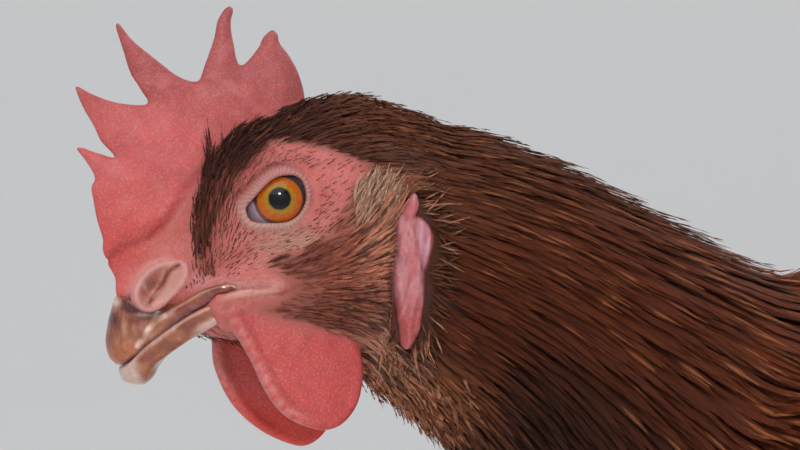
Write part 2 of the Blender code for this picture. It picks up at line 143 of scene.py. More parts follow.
def mixed_row(rows, place):
    """A section's values at a fractional place, in straight steps between rows."""
    i = np.clip(place.astype(int), 0, len(rows) - 2)
    t = (place - i)[..., None]
    return rows[i] * (1 - t) + rows[i + 1] * t


def blend_in(one, other, width):
    """The nearer of two surfaces, with a fillet where they meet."""
    share = np.clip(0.5 + 0.5 * (other - one) / width, 0, 1)
    return other + (one - other) * share - width * share * (1 - share)


def cut_out(one, other, width):
    """The first form less the second, with the edge of the cut rounded."""
    return -blend_in(-one, other, width)


def sections_field(rows, fore, up, left):
    """Distance outside (+) or inside (-) a body given by its sections, near its surface."""
    place, before, behind = find_section(rows, fore, up)
    row = mixed_row(rows, place)
    centre_f, centre_u = (row[..., 0] + row[..., 2]) / 2, (row[..., 1] + row[..., 3]) / 2
    tall_f, tall_u = (row[..., 0] - row[..., 2]) / 2, (row[..., 1] - row[..., 3]) / 2
    half = np.hypot(tall_f, tall_u)
    rise = ((fore - centre_f) * tall_f + (up - centre_u) * tall_u) / half**2
    wide = row[..., 4] * (1 - row[..., 5] * np.clip(rise, -1, 1))
    reach = np.sqrt(rise**2 + (left / wide) ** 2) + 1e-4
    field = np.sqrt((rise * half) ** 2 + left**2 + 1e-6) * (1 - 1 / reach)
    for past in (before, behind):
        field = -blend_in(-field, -(past + 0 * left), 1.5)
    return field


QUAD = [(0, 0), (1, 0), (0, 1), (1, 1)]
CORNERS = [(a, b, c) for a in (0, 1) for b in (0, 1) for c in (0, 1)]


class Clay:
    """A block of space that forms are blended into and a skin is drawn from."""

    def __init__(self, low, high, step):
        self.low, self.step = np.array(low, float), step
        counts = np.ceil((np.array(high) - self.low) / step).astype(int) + 1
        self.axes = [self.low[k] + step * np.arange(counts[k]) for k in range(3)]
        self.field = np.full(counts, 99, np.float32)

    def window(self, points, reach):
        """The part of the block within reach of some points, and its coordinates."""
        points = np.asarray(points, float).reshape(-1, 3)
        first = (points.min(0) - reach - self.low) / self.step
        last = (points.max(0) + reach - self.low) / self.step
        first, last = (
            np.clip(ends, 0, self.field.shape).astype(int) for ends in (first, last + 2)
        )
        cut = tuple(slice(*ends) for ends in zip(first, last))
        return (cut, *np.ix_(*(axis[part] for axis, part in zip(self.axes, cut))))

    def tube(self, points, radii, width=1, carve=False):
        """Adds, or carves, a round tube on a smooth line through points, with a radius at each."""
        fine = np.linspace(0, len(points) - 1, 4 * len(points) - 3)
        points = along_rows(np.array(points, float), fine)
        radii = along_rows(np.array(radii, float)[:, None], fine)[:, 0]
        cut, fore, up, left = self.window(points, radii.max() + width * 2 + 1)
        nearest = np.full(self.field[cut].shape, 99)
        for a, b, r0, r1 in zip(points, points[1:], radii, radii[1:]):
            way = b - a
            share = (fore - a[0]) * way[0] + (up - a[1]) * way[1] + (left - a[2]) * way[2]
            share = np.clip(share / (way @ way + 1e-9), 0, 1)
            gap = (fore - a[0] - share * way[0]) ** 2 + (up - a[1] - share * way[1]) ** 2
            gap = np.sqrt(gap + (left - a[2] - share * way[2]) ** 2) - (r0 + (r1 - r0) * share)
            nearest = np.minimum(nearest, gap)
        blend = cut_out if carve else blend_in
        self.field[cut] = blend(self.field[cut], nearest, width)

    def ball(self, centre, sizes, width=1):
        """Adds a ball with its own half size along each axis."""
        cut, *axes = self.window([centre], max(sizes) + width * 2 + 1)
        f, u, x = ((axis - c) / size for axis, c, size in zip(axes, centre, sizes))
        gap = (np.sqrt(f**2 + u**2 + x**2) - 1) * min(sizes)
        self.field[cut] = blend_in(self.field[cut], gap, width)

    def sample(self, places):
        """The field and its slope at any places in the block."""
        spot = np.clip((places - self.low) / self.step, 0, np.array(self.field.shape) - 1.001)
        cell = spot.astype(int)
        x, y, z = (spot - cell).T
        corner = {k: self.field[tuple((cell + k).T)] for k in CORNERS}

        def mix(values):
            low = {k: values[(0, *k)] * (1 - x) + values[(1, *k)] * x for k in QUAD}
            front, back = (low[0, k] * (1 - y) + low[1, k] * y for k in (0, 1))
            return front * (1 - z) + back * z

        slope = []
        for axis in range(3):
            ends = {}
            for key in CORNERS:
                low, high = (key[:axis] + (end,) + key[axis + 1 :] for end in (0, 1))
                ends[key] = corner[high] - corner[low]
            slope.append(mix(ends) / self.step)
        return mix(corner), np.stack(slope, -1)

    def fill_touching(self):
        """Fills the spots where two surfaces would meet along a single line."""
        for b, c in ((0, 1), (1, 2), (0, 2)) * 3:
            corners = []
            for step_b, step_c in QUAD:
                cut = [slice(None)] * 3
                cut[b] = slice(step_b, self.field.shape[b] - 1 + step_b)
                cut[c] = slice(step_c, self.field.shape[c] - 1 + step_c)
                corners.append(self.field[tuple(cut)])
            one, two, three, four = (corner < 0 for corner in corners)
            spots = (one == four) & (two == three) & (one != two)
            for corner in corners:
                corner[spots] = np.minimum(corner[spots], -0.02 * self.step)

    def skin(self, relax=2):
        """A closed mesh over the clay: places and four-sided faces."""
        self.fill_touching()
        inside = self.field < 0
        count = np.zeros(np.array(inside.shape) - 1, np.int8)
        for a, b, c in CORNERS:
            count += inside[a : a + count.shape[0], b : b + count.shape[1], c : c + count.shape[2]]
        active = (count > 0) & (count < 8)
        number = np.full(active.shape, -1)
        number[active] = np.arange(active.sum())
        cells = np.argwhere(active)
        total, hits = np.zeros((len(cells), 3)), np.zeros(len(cells))
        values = {k: self.field[tuple((cells + k).T)] for k in CORNERS}
        for one in CORNERS:
            for other in (one[:k] + (1,) + one[k + 1 :] for k in (2, 1, 0) if not one[k]):
                cross = (values[one] < 0) != (values[other] < 0)
                share = values[one][cross] / (values[one][cross] - values[other][cross])
                total[cross] += np.array(one) + share[:, None] * np.subtract(other, one)
                hits[cross] += 1
        places = (cells + total / hits[:, None]) * self.step + self.low
        faces = []
        for axis in range(3):
            spots = np.argwhere(np.diff(inside, axis=axis))
            across = [(axis + 1) % 3, (axis + 2) % 3]
            limit = np.array(inside.shape)[across] - 1
            spots = spots[((spots[:, across] > 0) & (spots[:, across] < limit)).all(1)]
            ring = []
            for step in ((-1, -1), (0, -1), (0, 0), (-1, 0)):
                cell = spots.copy()
                cell[:, across] += step
                ring.append(number[tuple(cell.T)])
            ring = np.stack(ring, -1)
            outward = inside[tuple(spots.T)]
            ring[outward] = ring[outward][:, ::-1]
            faces.append(ring)
        faces = np.concatenate(faces)
        for _ in range(relax):
            places = relaxed(places, faces, 0.5)
            value, slope = self.sample(places)
            steep = np.maximum((slope**2).sum(1), 0.05)
            move = np.clip(value / steep, -self.step, self.step)
            places = places - slope * move[:, None]
        return places, faces


def relaxed(places, faces, share):
    """Each place moved part of the way to the middle of its neighbours."""
    total, hits = np.zeros_like(places), np.zeros(len(places))
    for k in range(faces.shape[1]):
        here, beside = faces[:, k], faces[:, (k + 1) % faces.shape[1]]
        np.add.at(total, here, places[beside])
        np.add.at(total, beside, places[here])
        np.add.at(hits, here, 1)
        np.add.at(hits, beside, 1)
    return places + share * (total / np.maximum(hits, 1)[:, None] - places)


def make_mesh(name, world_places, faces):
    """A mesh object from arrays of places in metres and of faces."""
    mesh = bpy.data.meshes.new(name)
    mesh.from_pydata(world_places.tolist(), [], faces.tolist(), shade_flat=False)
    made = bpy.data.objects.new(name, mesh)
    bpy.context.scene.collection.objects.link(made)
    return made


body_places = np.linspace(3.7, 12.9, 90)
body_rows = skin_rows(body_places, 1.2 - 1.6 * np.clip((body_places - 4) / 0.25, 0, 1))
body_clay = Clay((-336, -206, -84), (-20, 44, 84), 3.2)
body_clay.field = np.float32(sections_field(body_rows, *np.ix_(*body_clay.axes)))
FOOT_LEFT, FOOT_FORE, FLOOR = 41, -175, -ZERO_Z
HOCK_UP = 97  # above the floor
HOCK = (-196, FLOOR + HOCK_UP, FOOT_LEFT * 0.95)
THIGH = [(-172, -96, 36), (-178, -140, 39), (-186, -172, 39), HOCK]
WING_ARM = [(-100, -50, 41), (-135, -42, 48), (-180, -34, 50), (-235, -22, 41)]
for side in (1, -1):
    body_clay.tube(np.array(THIGH) * (1, 1, side), (20, 17.5, 11, 6), width=9)
    body_clay.tube(np.array(WING_ARM) * (1, 1, side), (9, 10, 9, 6), width=9)
body_places, body_faces = body_clay.skin()

# ---------------- head, comb, wattles and lobes
# Bare skin and thin flesh over the skull. The comb is a plate of firm flesh with five spikes that
# grows along the crown, the wattles are two flat flaps that hang from the jaw, and the lobes are
# slack folds under the ears. They grow out of one another, so they are blended from one clay.

def rounded_edge(edge, steps=4):
    """A closed edge with a smooth curve through its corners."""
    ring = np.array([edge[-1], *edge, *edge[:2]], float)
    return along_rows(ring, 1 + np.arange(len(edge) * steps) / steps)


COMB_EDGE = rounded_edge([  # from the bill round the five spikes to the back of the crown
    (18, -14), (23, -19), (27.4, -20.2), (28.7, -18), (28.8, -15.4), (30.3, -12.6), (31.2, -10),
    (31.2, -8), (32.3, -4.4), (33, -0.6), (33.4, 1.8), (32.7, 3.6), (34.4, 6.6), (36.2, 9),
    (35, 9.2), (32.4, 8.3), (29, 7.5), (31.6, 10.4), (32.9, 13.2), (35.1, 16.9), (36.6, 20.5),
    (35.6, 20.5), (33, 19.2), (28.2, 17.7), (22.8, 17.6), (24.1, 20.3), (25.7, 23.4),
    (27.1, 28.1), (28.5, 32.8), (27.5, 32.7), (25.1, 29.7), (20.3, 25.7), (16.4, 22.9),
    (13, 22.2), (11.3, 25.6), (9.3, 30.7), (8.5, 34.2), (6.6, 36.9), (5.3, 36.4), (5.9, 33.7),
    (5.5, 29.9), (4.4, 25.4), (0.9, 28.7), (-0.4, 31.1), (-2.2, 32.6), (-3.4, 31.7),
    (-3.6, 30.1), (-5.6, 27.2), (-7.3, 23.7), (-8.3, 19), (-7, 14), (4, 6),
    (12, -4),
])
LEFT_WATTLE = rounded_edge([
    (10.6, -21), (9, -23.4), (7.1, -26.3), (4.6, -31), (2.2, -36.4), (-0.4, -40.2),
    (-4.2, -42.7), (-9, -43.9), (-12.9, -42.4), (-15.7, -38.7), (-16.9, -33.4), (-16.4, -28.9),
    (-13.6, -25), (-9, -21), (2, -18.5),
])
RIGHT_WATTLE = rounded_edge([
    (9, -23), (8.6, -27.6), (8.2, -32), (6, -37.2), (2.8, -41.6), (-2, -45.4),
    (-7.2, -47.8), (-10.6, -48.2), (-14, -45.9), (-17, -40.5), (-17.6, -34), (-15.6, -28),
    (-10, -22), (2, -18.5),
])
# the edge of each wattle, and how far left its root and its lower end are
WATTLES = ((LEFT_WATTLE, 8.2, 11.6), (RIGHT_WATTLE, -7.6, -9.8))
LOBE_FRONT = rounded_edge([
    (-25.1, 0.7), (-26, -1.4), (-25.6, -3), (-24.7, -4.6), (-25.4, -7.7), (-26.4, -11.9),
    (-26.9, -18.3), (-26.7, -21.8), (-26, -25.3), (-24.3, -28.6), (-22.9, -28.1), (-22.4, -25),
    (-21.8, -21.3), (-21, -16.5), (-20.9, -12), (-21.6, -8.5), (-21.7, -4.4), (-23, -1.8),
])
LOBE_BACK = rounded_edge(
    [(-23.6, -3.6), (-27.1, -4.6), (-28.6, -7.2), (-28.4, -9.8), (-26.4, -14.2), (-24, -11)]
)
LID_EDGE = rounded_edge([  # the opening between the lids, seen from the side of the head
    (5.9, -2.1), (5.7, -3.6), (4.9, -4.7), (3, -5), (0.1, -5), (-1.8, -4.6), (-3.6, -3.2),
    (-4.8, -0.6), (-4.5, 2.2), (-3.5, 3.5), (-2, 3.9), (0.6, 3.4), (2.8, 1.7), (4.5, -0.3),
])
NOSE_EDGE = rounded_edge([
    (17.5, -12.3), (20.5, -12.4), (22.9, -13.6), (24.9, -15.9), (26, -18.2), (25.7, -19.9),
    (24.7, -21.1), (23.2, -21.5), (21.2, -20.7), (19.1, -18.6), (17.2, -16.1), (16.6, -13.8),
])
NOSTRIL = [(17.9, -12.9), (19.8, -14.2), (20.4, -16), (21.1, -17.1), (21.9, -18.2), (23.2, -19.9)]
EYE_TURN, EYE_RAISE = radians(12), radians(6)  # ahead of straight sideways, and up
EYE_RADIUS, EYE_AXIAL = 7.4, 6.6
LID_DEEP = 1


def to_edge(edge, fore, up):
    """Distance outside (+) or inside (-) a closed edge in the middle plane."""
    edge = np.array(edge, float)
    nearest = np.full(np.broadcast(fore, up).shape, 1e9)
    inside = np.zeros(nearest.shape, bool)
    for a, b in zip(edge, np.roll(edge, -1, axis=0)):
        nearest = np.minimum(nearest, step_distance(a, b, fore, up))
        rises = (a[1] > up) != (b[1] > up)
        across = a[0] + (up - a[1]) * (b[0] - a[0]) / ((b[1] - a[1]) or 1e-9)
        inside ^= rises & (fore < across)
    return np.where(inside, -1, 1) * np.sqrt(nearest)


def step_distance(a, b, fore, up):
    """Squared distance to one straight step."""
    way = np.subtract(b, a)
    share = ((fore - a[0]) * way[0] + (up - a[1]) * way[1]) / (way @ way + 1e-9)
    share = np.clip(share, 0, 1)
    return (fore - a[0] - share * way[0]) ** 2 + (up - a[1] - share * way[1]) ** 2


def to_line(points, fore, up):
    """Distance to an open line in the middle plane."""
    return np.sqrt(
        np.minimum.reduce([step_distance(a, b, fore, up) for a, b in zip(points, points[1:])])
    )


def ease(value, start, end):
    """0 before start, 1 after end, and a smooth rise between."""
    t = np.clip((value - start) / (end - start), 0, 1)
    return t * t * (3 - 2 * t)


def bell(value, width):
    """1 where a value is 0, falling smoothly to 0 on both sides."""
    return np.exp(-((value / width) ** 2))


def spot(fore, up, at_fore, at_up, wide, tall=None):
    """1 at a place in the middle plane, falling smoothly to 0 around it."""
    tall = tall or wide
    return np.exp(-(((fore - at_fore) / wide) ** 2) - ((up - at_up) / tall) ** 2)


def ripple(fore, up, left, pitch, seed=0):
    """A soft uneven swell between -1 and 1, about one rise for each pitch."""
    k = 2 * pi / pitch
    bend = 2.3 * np.sin(k * 0.37 * (up * 0.8 + fore * 0.6 + left * 0.3) + seed)
    turn = 2.3 * np.sin(k * 0.29 * (fore * 0.9 - up * 0.5 + left * 0.4) + 2 * seed)
    a = np.sin(k * (fore * 0.93 + up * 0.31 + left * 0.25) + bend + seed)
    b = np.sin(k * 0.9 * (up * 0.95 - fore * 0.28 + left * 0.3) + turn + 1.3 - seed)
    c = np.sin(k * 0.8 * (left * 0.8 + fore * 0.35 - up * 0.5) + bend - turn)
    return (a + b + c) / 2.2


def flap(gap, off, half, rounding):
    """A sheet with rounded edges, from the distance to its edge and to its middle surface."""
    rounding = np.minimum(rounding, half)
    out, thick = gap + rounding, np.abs(off) - half + rounding
    corner = np.hypot(np.maximum(out, 0), np.maximum(thick, 0))
    return corner + np.minimum(np.maximum(out, thick), 0) - rounding


COMB_FOLD = [(31.2, -12.7), (27.5, -9.8), (23.9, -8.3), (19.4, -5.4), (15.7, -3.2)]
COMB_RIDGE = [(29.6, -8.4), (25.9, -5.8), (20.7, -3.2), (16.3, 0.1)]


def comb_above(fore, up):
    """Height above the crease behind which the two rear spikes lean to the right."""
    return up - (21.6 - 5.5 * ease(12 - fore, 0, 20) - 0.35 * np.maximum(8 - fore, 0))


def comb_field(fore, up, left):
    gap = to_edge(COMB_EDGE, fore, up)
    height = np.hypot(fore - 4, up + 8)
    half = 3.4 - 2.2 * ease(height, 16, 42) + 0.3 * ease(-up, -2, 16)
    half = half + 0.08 * ripple(fore, up, 0, 6.5) + 0.14 * ripple(fore, up, 0, 12, 2)
    half = np.minimum(half, 0.75 + 0.36 * np.maximum(-gap, 0))
    half = half - 0.7 * bell(to_line(COMB_FOLD, fore, up), 0.9)
    half = half + 0.4 * bell(to_line(COMB_RIDGE, fore, up), 1.2)
    above = comb_above(fore, up)
    lean = 0.6 - 1.3 * ease(above, -0.8, 1.8) - 0.15 * np.maximum(above, 0)
    lean = lean + 0.6 * ripple(fore, up, 0, 19, 1)
    return flap(gap, left - lean, half, 1.2 + 1.4 * ease(-up, -6, 10))


def wattle_field(wattle, fore, up, left):
    edge, root_left, low_left = wattle
    gap = to_edge(edge, fore, up)
    drop = ease(-up, 20, 46)
    bow = 0.9 * np.sin(np.clip((8 - fore) / 24, 0, 1) * pi) * drop
    middle = root_left + (low_left - root_left) * drop + copysign(1, root_left) * bow
    front = ease(fore, -9, 2)
    rim = 0.6 * bell(gap + 1, 0.9) * front
    half = 1.35 + rim + 0.12 * ripple(fore, up, 0, 6, 3)
    half = half + 0.35 * ease(-gap, 1.5, 7)
    return flap(gap, left - middle, half, 1.2)


def lobe_field(fore, up, left, side):
    fold = 0.38 * ripple(fore * 2.4, up * 0.5, 0, 6, 5)
    crease = 0.2 * ripple(fore * 1.5, up * 0.8, 0, 2.3, 7)
    crease = crease + 0.22 * ripple(fore, up * 1.6, 0, 3, 4) * ease(-up, 17, 22)
    outward = side * (16.4 - 0.03 * np.maximum(-14 - up, 0) - 0.26 * np.maximum(fore + 24.8, 0))
    front = to_edge(LOBE_FRONT, fore, up)
    front = flap(front, left - outward - side * 0.5, 1.7 + fold + crease, 1.6)
    back = to_edge(LOBE_BACK, fore, up)
    ridges = 0.3 * np.sin(fore * 3.4 + up * 0.4)
    return np.minimum(front, flap(back, left - outward, 1 + ridges, 1))


def eye_axes(side):
    """The eyeball's middle, the way it looks, and the two directions across it."""
    turn, lift = EYE_TURN, EYE_RAISE
    middle = np.array([EYE_FORE, EYE_UP, side * EYE_LEFT])
    gaze = np.array([sin(turn) * cos(lift), sin(lift), cos(turn) * cos(lift)])
    across = np.array([cos(turn), 0, -sin(turn)])
    rising = np.cross(across, gaze)
    mirror = np.array([1, 1, side])
    return middle, gaze * mirror, across * mirror, rising * mirror


def lid_width(fore, up):
    """The lids are broad above and in front of the eye and narrow behind it."""
    return 1.9 - 0.8 * ease(-fore, 1, 4.5) - 0.4 * ease(-up, 1.5, 4.5)


head_clay = Clay((-44, -50, -22), (38, 38.5, 22), 0.5)
F, U, X = np.ix_(*head_clay.axes)
head_places = np.linspace(0, 4.35, 60)
head_rows = skin_rows(head_places, 2 * np.clip((head_places - 3.85) / 0.5, 0, 1))
clay = np.float32(sections_field(head_rows, F, U, X))
clay += 0.09 * ripple(F, U, X, 7) * ease(F, -30, -20)
wrinkled = spot(F, U, 8.5, -2, 3, 8)
clay += np.float32(0.1 * wrinkled * ripple(F, U * 0.22, 0 * X, 1.9, 3))
skull = clay


def on_side(fore, up):
    """How far out the side of the skull is at a place in the middle plane."""
    cell = np.round((np.array((fore, up)) - head_clay.low[:2]) / head_clay.step).astype(int)
    outward = skull[tuple(cell)][skull.shape[2] // 2 :]
    return head_clay.step * (np.argmax(outward > 0) - 0.5)


clay = blend_in(clay, np.float32(comb_field(F, U, X)), 2.6)
wattles = np.minimum(*(wattle_field(wattle, F, U, X) for wattle in WATTLES))
clay = blend_in(clay, np.float32(wattles), 2.6)
for side in (1, -1):
    clay = blend_in(clay, np.float32(lobe_field(F, U, X, side)), 0.8)
head_clay.field = clay

GAPE_UPPER = [(9.2, -15.9), (6.2, -15.9), (3.4, -15.9), (1, -16.2), (-0.6, -16.8)]
GAPE_LOWER = [(11.6, -20.6), (9.6, -19.1), (6.8, -18.25), (4, -17.85), (1.6, -17.5), (-0.2, -17.2)]
BILL_ROOT = [(10.9, -19.2), (10.6, -21), (10.2, -22.8), (9, -24.6)]
CHEEK_FOLD = [(8, -14.2), (4, -13.9), (0, -14.6), (-2.4, -16.2)]
MOUTH = [(19.8, -24.3), (17.1, -22.1), (14.4, -20.4), (11.7, -18.8), (8.9, -17.7), (6.2, -17.25),
         (3.4, -17), (1.4, -16.9)]


def sided(side, points, out=0):
    """Points of the middle plane, laid on one side of the skull."""
    return [(f, u, side * (on_side(f, u) + out)) for f, u in points]


for side in (1, -1):
    # soft skin at the corner of the mouth and round the lower bill's root, and the cheek's fold
    head_clay.tube(sided(side, GAPE_UPPER, 0.1), (0.3, 0.8, 1, 1, 1.1))
    head_clay.tube(sided(side, GAPE_LOWER, 0.2), (1.1, 1, 0.85, 0.8, 0.8, 0.8))
    root = sided(side, BILL_ROOT[:2], 1) + sided(side, BILL_ROOT[2:], 1.9)
    head_clay.tube(root, (0.6, 1.2, 1.3, 0.8), 1.6)
    head_clay.tube(sided(side, CHEEK_FOLD), (0.4, 0.8, 0.9, 0.5), 2.4)
    head_clay.tube(sided(side, MOUTH[4:], 0.9), (0.4, 0.4, 0.35, 0.15), 0.4, carve=True)

    # the swollen flap over the nostril, with its slit
    head_clay.tube([(25.4, -17.4, side * 3.4), (25.3, -18.9, side * 4.2), (24.5, -20, side * 5.2),
                    (23.2, -20.5, side * 5.8), (21.4, -19.8, side * 6), (19.4, -18.2, side * 6.3)],
                   (0.7, 0.9, 1, 1, 0.9, 0.6), 1.2)
    cut, fore, up, left = head_clay.window([(21.2, -16.6, side * 7)], 9)
    outer = left * side > 2.5
    rim, slit = to_edge(NOSE_EDGE, fore, up), to_line(NOSTRIL, fore, up)
    ahead = ease(fore - np.interp(up, [-20, -13], [23.2, 17.9]), -0.3, 0.9)
    raised = 0.7 * ease(-rim, -1.2, 1.4) + 0.4 * bell(rim - 0.1, 0.5) - 0.35 * ease(-rim, 0.4, 1.2)
    depth = 0.95 - 0.4 * ease(-up, 17, 18.6)
    raised = raised + 0.45 * ahead * ease(-rim, 0, 1) - depth * bell(slit, 0.36)
    head_clay.field[cut] -= np.float32(raised * outer)

    middle, gaze, across, rising = eye_axes(side)
    cut, fore, up, left = head_clay.window([middle + gaze * EYE_AXIAL], 13)
    f, u, x = fore - middle[0], up - middle[1], left - middle[2]
    aside, rise, depth = (f * way[0] + u * way[1] + x * way[2] for way in (across, rising, gaze))
    ball = np.sqrt((aside**2 + rise**2) / EYE_RADIUS**2 + (depth / EYE_AXIAL) ** 2)
    ball = (ball - 1) * EYE_AXIAL
    opening = to_edge(LID_EDGE, fore, up)
    field = blend_in(head_clay.field[cut], ball - LID_DEEP, 2.4)
    wide = lid_width(fore, up)
    ring = np.clip(opening / wide, 0, 1)
    field = field - 0.28 * np.sin(pi * ring) ** 0.7 * (depth > 0)
    field = field + 0.3 * bell(opening - wide - 0.3, 0.45) * (depth > 0)
    field = cut_out(field, np.maximum(opening, -depth), 0.5)
    hollow = np.maximum(ball - 0.1, np.maximum(opening - 0.9, -depth))
    head_clay.field[cut] = np.maximum(field, -hollow)
head_places, head_faces = head_clay.skin()


# ---------------- legs and feet
# Bare legs with yellow scales: two columns of broad plates down the front of the shank, a row of
# narrow plates along the top of each toe, and round pads under the toes, flat where they bear.

SHANK_ROWS = np.array([  # share of the way down, half length, half width
    (-0.14, 6, 5.4), (-0.05, 7.6, 6.9), (0.06, 6.9, 6.1), (0.2, 5.7, 5.1), (0.4, 5.2, 4.8),
    (0.7, 5.4, 5.1), (0.9, 6.1, 6), (1, 6.6, 6.8),
])
TOES = {  # turn from straight ahead, length to the claw, radius at root and tip, height of root
    "inner": (-34, 40, 4.9, 3.4, 7),
    "middle": (2, 58, 5.3, 3.6, 8),
    "outer": (38, 46, 4.9, 3.3, 7),
    "hind": (-162, 24, 4.2, 3, 9),
}
ANKLE_UP = 16


def plate_grooves(along, pitch, width):
    """1 in the grooves between plates, falling to 0 on the plates."""
    return bell(((along / pitch) % 1 - 0.5) * pitch, width)


leg_clay = Clay((-214, FLOOR - 2, 4), (-106, FLOOR + 110, 84), 0.8)
F, U, X = np.ix_(*leg_clay.axes)
share = (FLOOR + HOCK_UP - U) / (HOCK_UP - ANKLE_UP)
deep, wide = (np.interp(share, SHANK_ROWS[:, 0], SHANK_ROWS[:, k]) for k in (1, 2))
ahead = F - (HOCK[0] + (FOOT_FORE - 3 - HOCK[0]) * share)
aside = X - FOOT_LEFT * (0.95 + 0.05 * share)
reach = np.sqrt((ahead / deep) ** 2 + (aside / wide) ** 2) + 1e-4
shank = (reach - 1) * np.minimum(deep, wide)
round_leg = np.arctan2(aside, ahead)
columns = plate_grooves(U - FLOOR + 2.6 * np.sign(aside), 5.2, 0.75)
columns = np.maximum(columns, bell(round_leg, 0.14))
columns = np.maximum(columns, bell(np.abs(round_leg) - 1.45, 0.14))
small = plate_grooves(U - FLOOR + 1.4 * np.sign(np.sin(round_leg * 8)), 2.8, 0.6)
front = ease(1.6 - np.abs(round_leg), 0, 0.25)
shank = shank + 0.5 * columns * front + 0.3 * small * (1 - front)
shank = np.maximum(shank, np.maximum(FLOOR + 5 - U, U - FLOOR - 106))
leg_clay.field = np.float32(shank)
leg_clay.ball((HOCK[0] - 1, HOCK[1] - 1, HOCK[2]), (7.8, 8.6, 7.2), width=4)
leg_clay.ball((FOOT_FORE - 1.5, FLOOR + 9.5, FOOT_LEFT), (8.2, 7.6, 8.4), width=4)
for toe, (turn, length, root, tip, height) in TOES.items():
    ahead, out = cos(radians(turn)), sin(radians(turn))
    ends = [(FOOT_FORE + ahead * s, FLOOR + 5, FOOT_LEFT + out * s) for s in (0, length)]
    cut, fore, up, left = leg_clay.window(ends, 11)
    run = (fore - FOOT_FORE) * ahead + (left - FOOT_LEFT) * out
    off = (left - FOOT_LEFT) * ahead - (fore - FOOT_FORE) * out
    t = np.clip(run / length, 0, 1)
    pad = (root + (tip - root) * t) * (1 + 0.08 * np.cos(t * pi * 6))
    middle_up = FLOOR + pad - 0.7 + (height - pad) * (1 - t) ** 3
    past = np.maximum(run - length + 1.5, 0) + np.maximum(-run, 0)
    gap = np.sqrt(off**2 + (up - middle_up) ** 2 + past**2) - pad
    plates = plate_grooves(run, 3.5, 0.6) * ease(up - middle_up, -0.5, 1.5)
    plates = plates * ease(run, 4, 8) + 0.5 * ease(middle_up - up, 0, 2) * plate_grooves(
        run + 0.6 * np.sign(np.sin(off * 2.2)), 2.4, 0.5)
    gap = gap + 0.42 * plates
    leg_clay.field[cut] = blend_in(leg_clay.field[cut], gap, 3)
leg_clay.field = np.maximum(leg_clay.field, np.float32(FLOOR + 0.08 - U))
leg_places, leg_faces = leg_clay.skin()


# ---------------- the one skin
# Head, body and legs grow together into one closed skin. Its colour follows the flesh: red on the
# comb and wattles, pink on the bare face, brown under the plumage and yellow on the legs.


def settled(made):
    """Turns the result of an object's modifiers into its mesh."""
    graph = bpy.context.evaluated_depsgraph_get()
    mesh = bpy.data.meshes.new_from_object(made.evaluated_get(graph))
    made.modifiers.clear()
    made.data = mesh
    return made


def places_of(mesh):
    """The places of a mesh's vertices, in metres."""
    places = np.empty(len(mesh.vertices) * 3, np.float32)
    mesh.vertices.foreach_get("co", places)
    return places.reshape(-1, 3).astype(float)


SKIN_TRIANGLES = 196000
skin = make_mesh("skin", to_world(head_places), head_faces)
body = make_mesh("body", to_world(body_places), body_faces)
legs = [
    make_mesh("leg", to_world(leg_places * (1, 1, side)), leg_faces[:, ::side]) for side in (1, -1)
]
for other in (body, *legs):
    join = skin.modifiers.new("join", "BOOLEAN")
    join.operation, join.solver, join.object = "UNION", "MANIFOLD", other
settled(skin)
for spare in (body, *legs):
    bpy.data.objects.remove(spare)
triangles = sum(len(face.vertices) - 2 for face in skin.data.polygons)
thin = skin.modifiers.new("thin", "DECIMATE")
thin.ratio = min(1, SKIN_TRIANGLES / triangles)
settled(skin)

BARE_EDGE = rounded_edge([  # the side of the face that has no feathers
    (27, -20), (16.6, -17.5), (13.6, -14), (11.4, -8.5), (10, -3.6), (8.6, 1.2), (6.9, 4.3),
    (4.4, 7.2), (2.5, 9.6), (-2.3, 10), (-7.1, 9.1), (-12, 7.7), (-16.6, 5.4), (-14.2, 1.2),
    (-10.4, -4.2), (-6.6, -8.4), (-1, -10.8), (3, -12.2), (3.4, -13.6), (1.4, -14.7),
    (-1.8, -16.6), (-2, -18.6), (1.2, -20.2), (3.4, -21.2), (4, -25), (14, -31),
    (24, -27),
])
LORES_FRONT = [  # where the feathers of the lores and crown begin, behind the comb
    (13.5, -17.5), (14.3, -14.7), (14.7, -11), (14.9, -7.3), (14.5, -2.6), (13.6, 2.1), (12.4, 5.8),
    (10.5, 9.6), (7.3, 13.6), (2.3, 16.6), (-5, 19.1),
]


def ahead_of_lores(fore, up):
    """How far in front of the feathers of the lores a place is."""
    front, rise = np.array(LORES_FRONT).T
    return np.where(fore < -5, -1, fore - np.interp(up, rise, front))


def mixed(one, other, share):
    """Colours between two, by a share for each place."""
    share = np.clip(np.asarray(share), 0, 1)[..., None]
    return np.asarray(one) * (1 - share) + np.asarray(other) * share


def layered(tone, *coats):
    """A colour with others laid over it in turn, each by a share for each place."""
    for colour, share in coats:
        tone = mixed(tone, colour, share)
    return tone


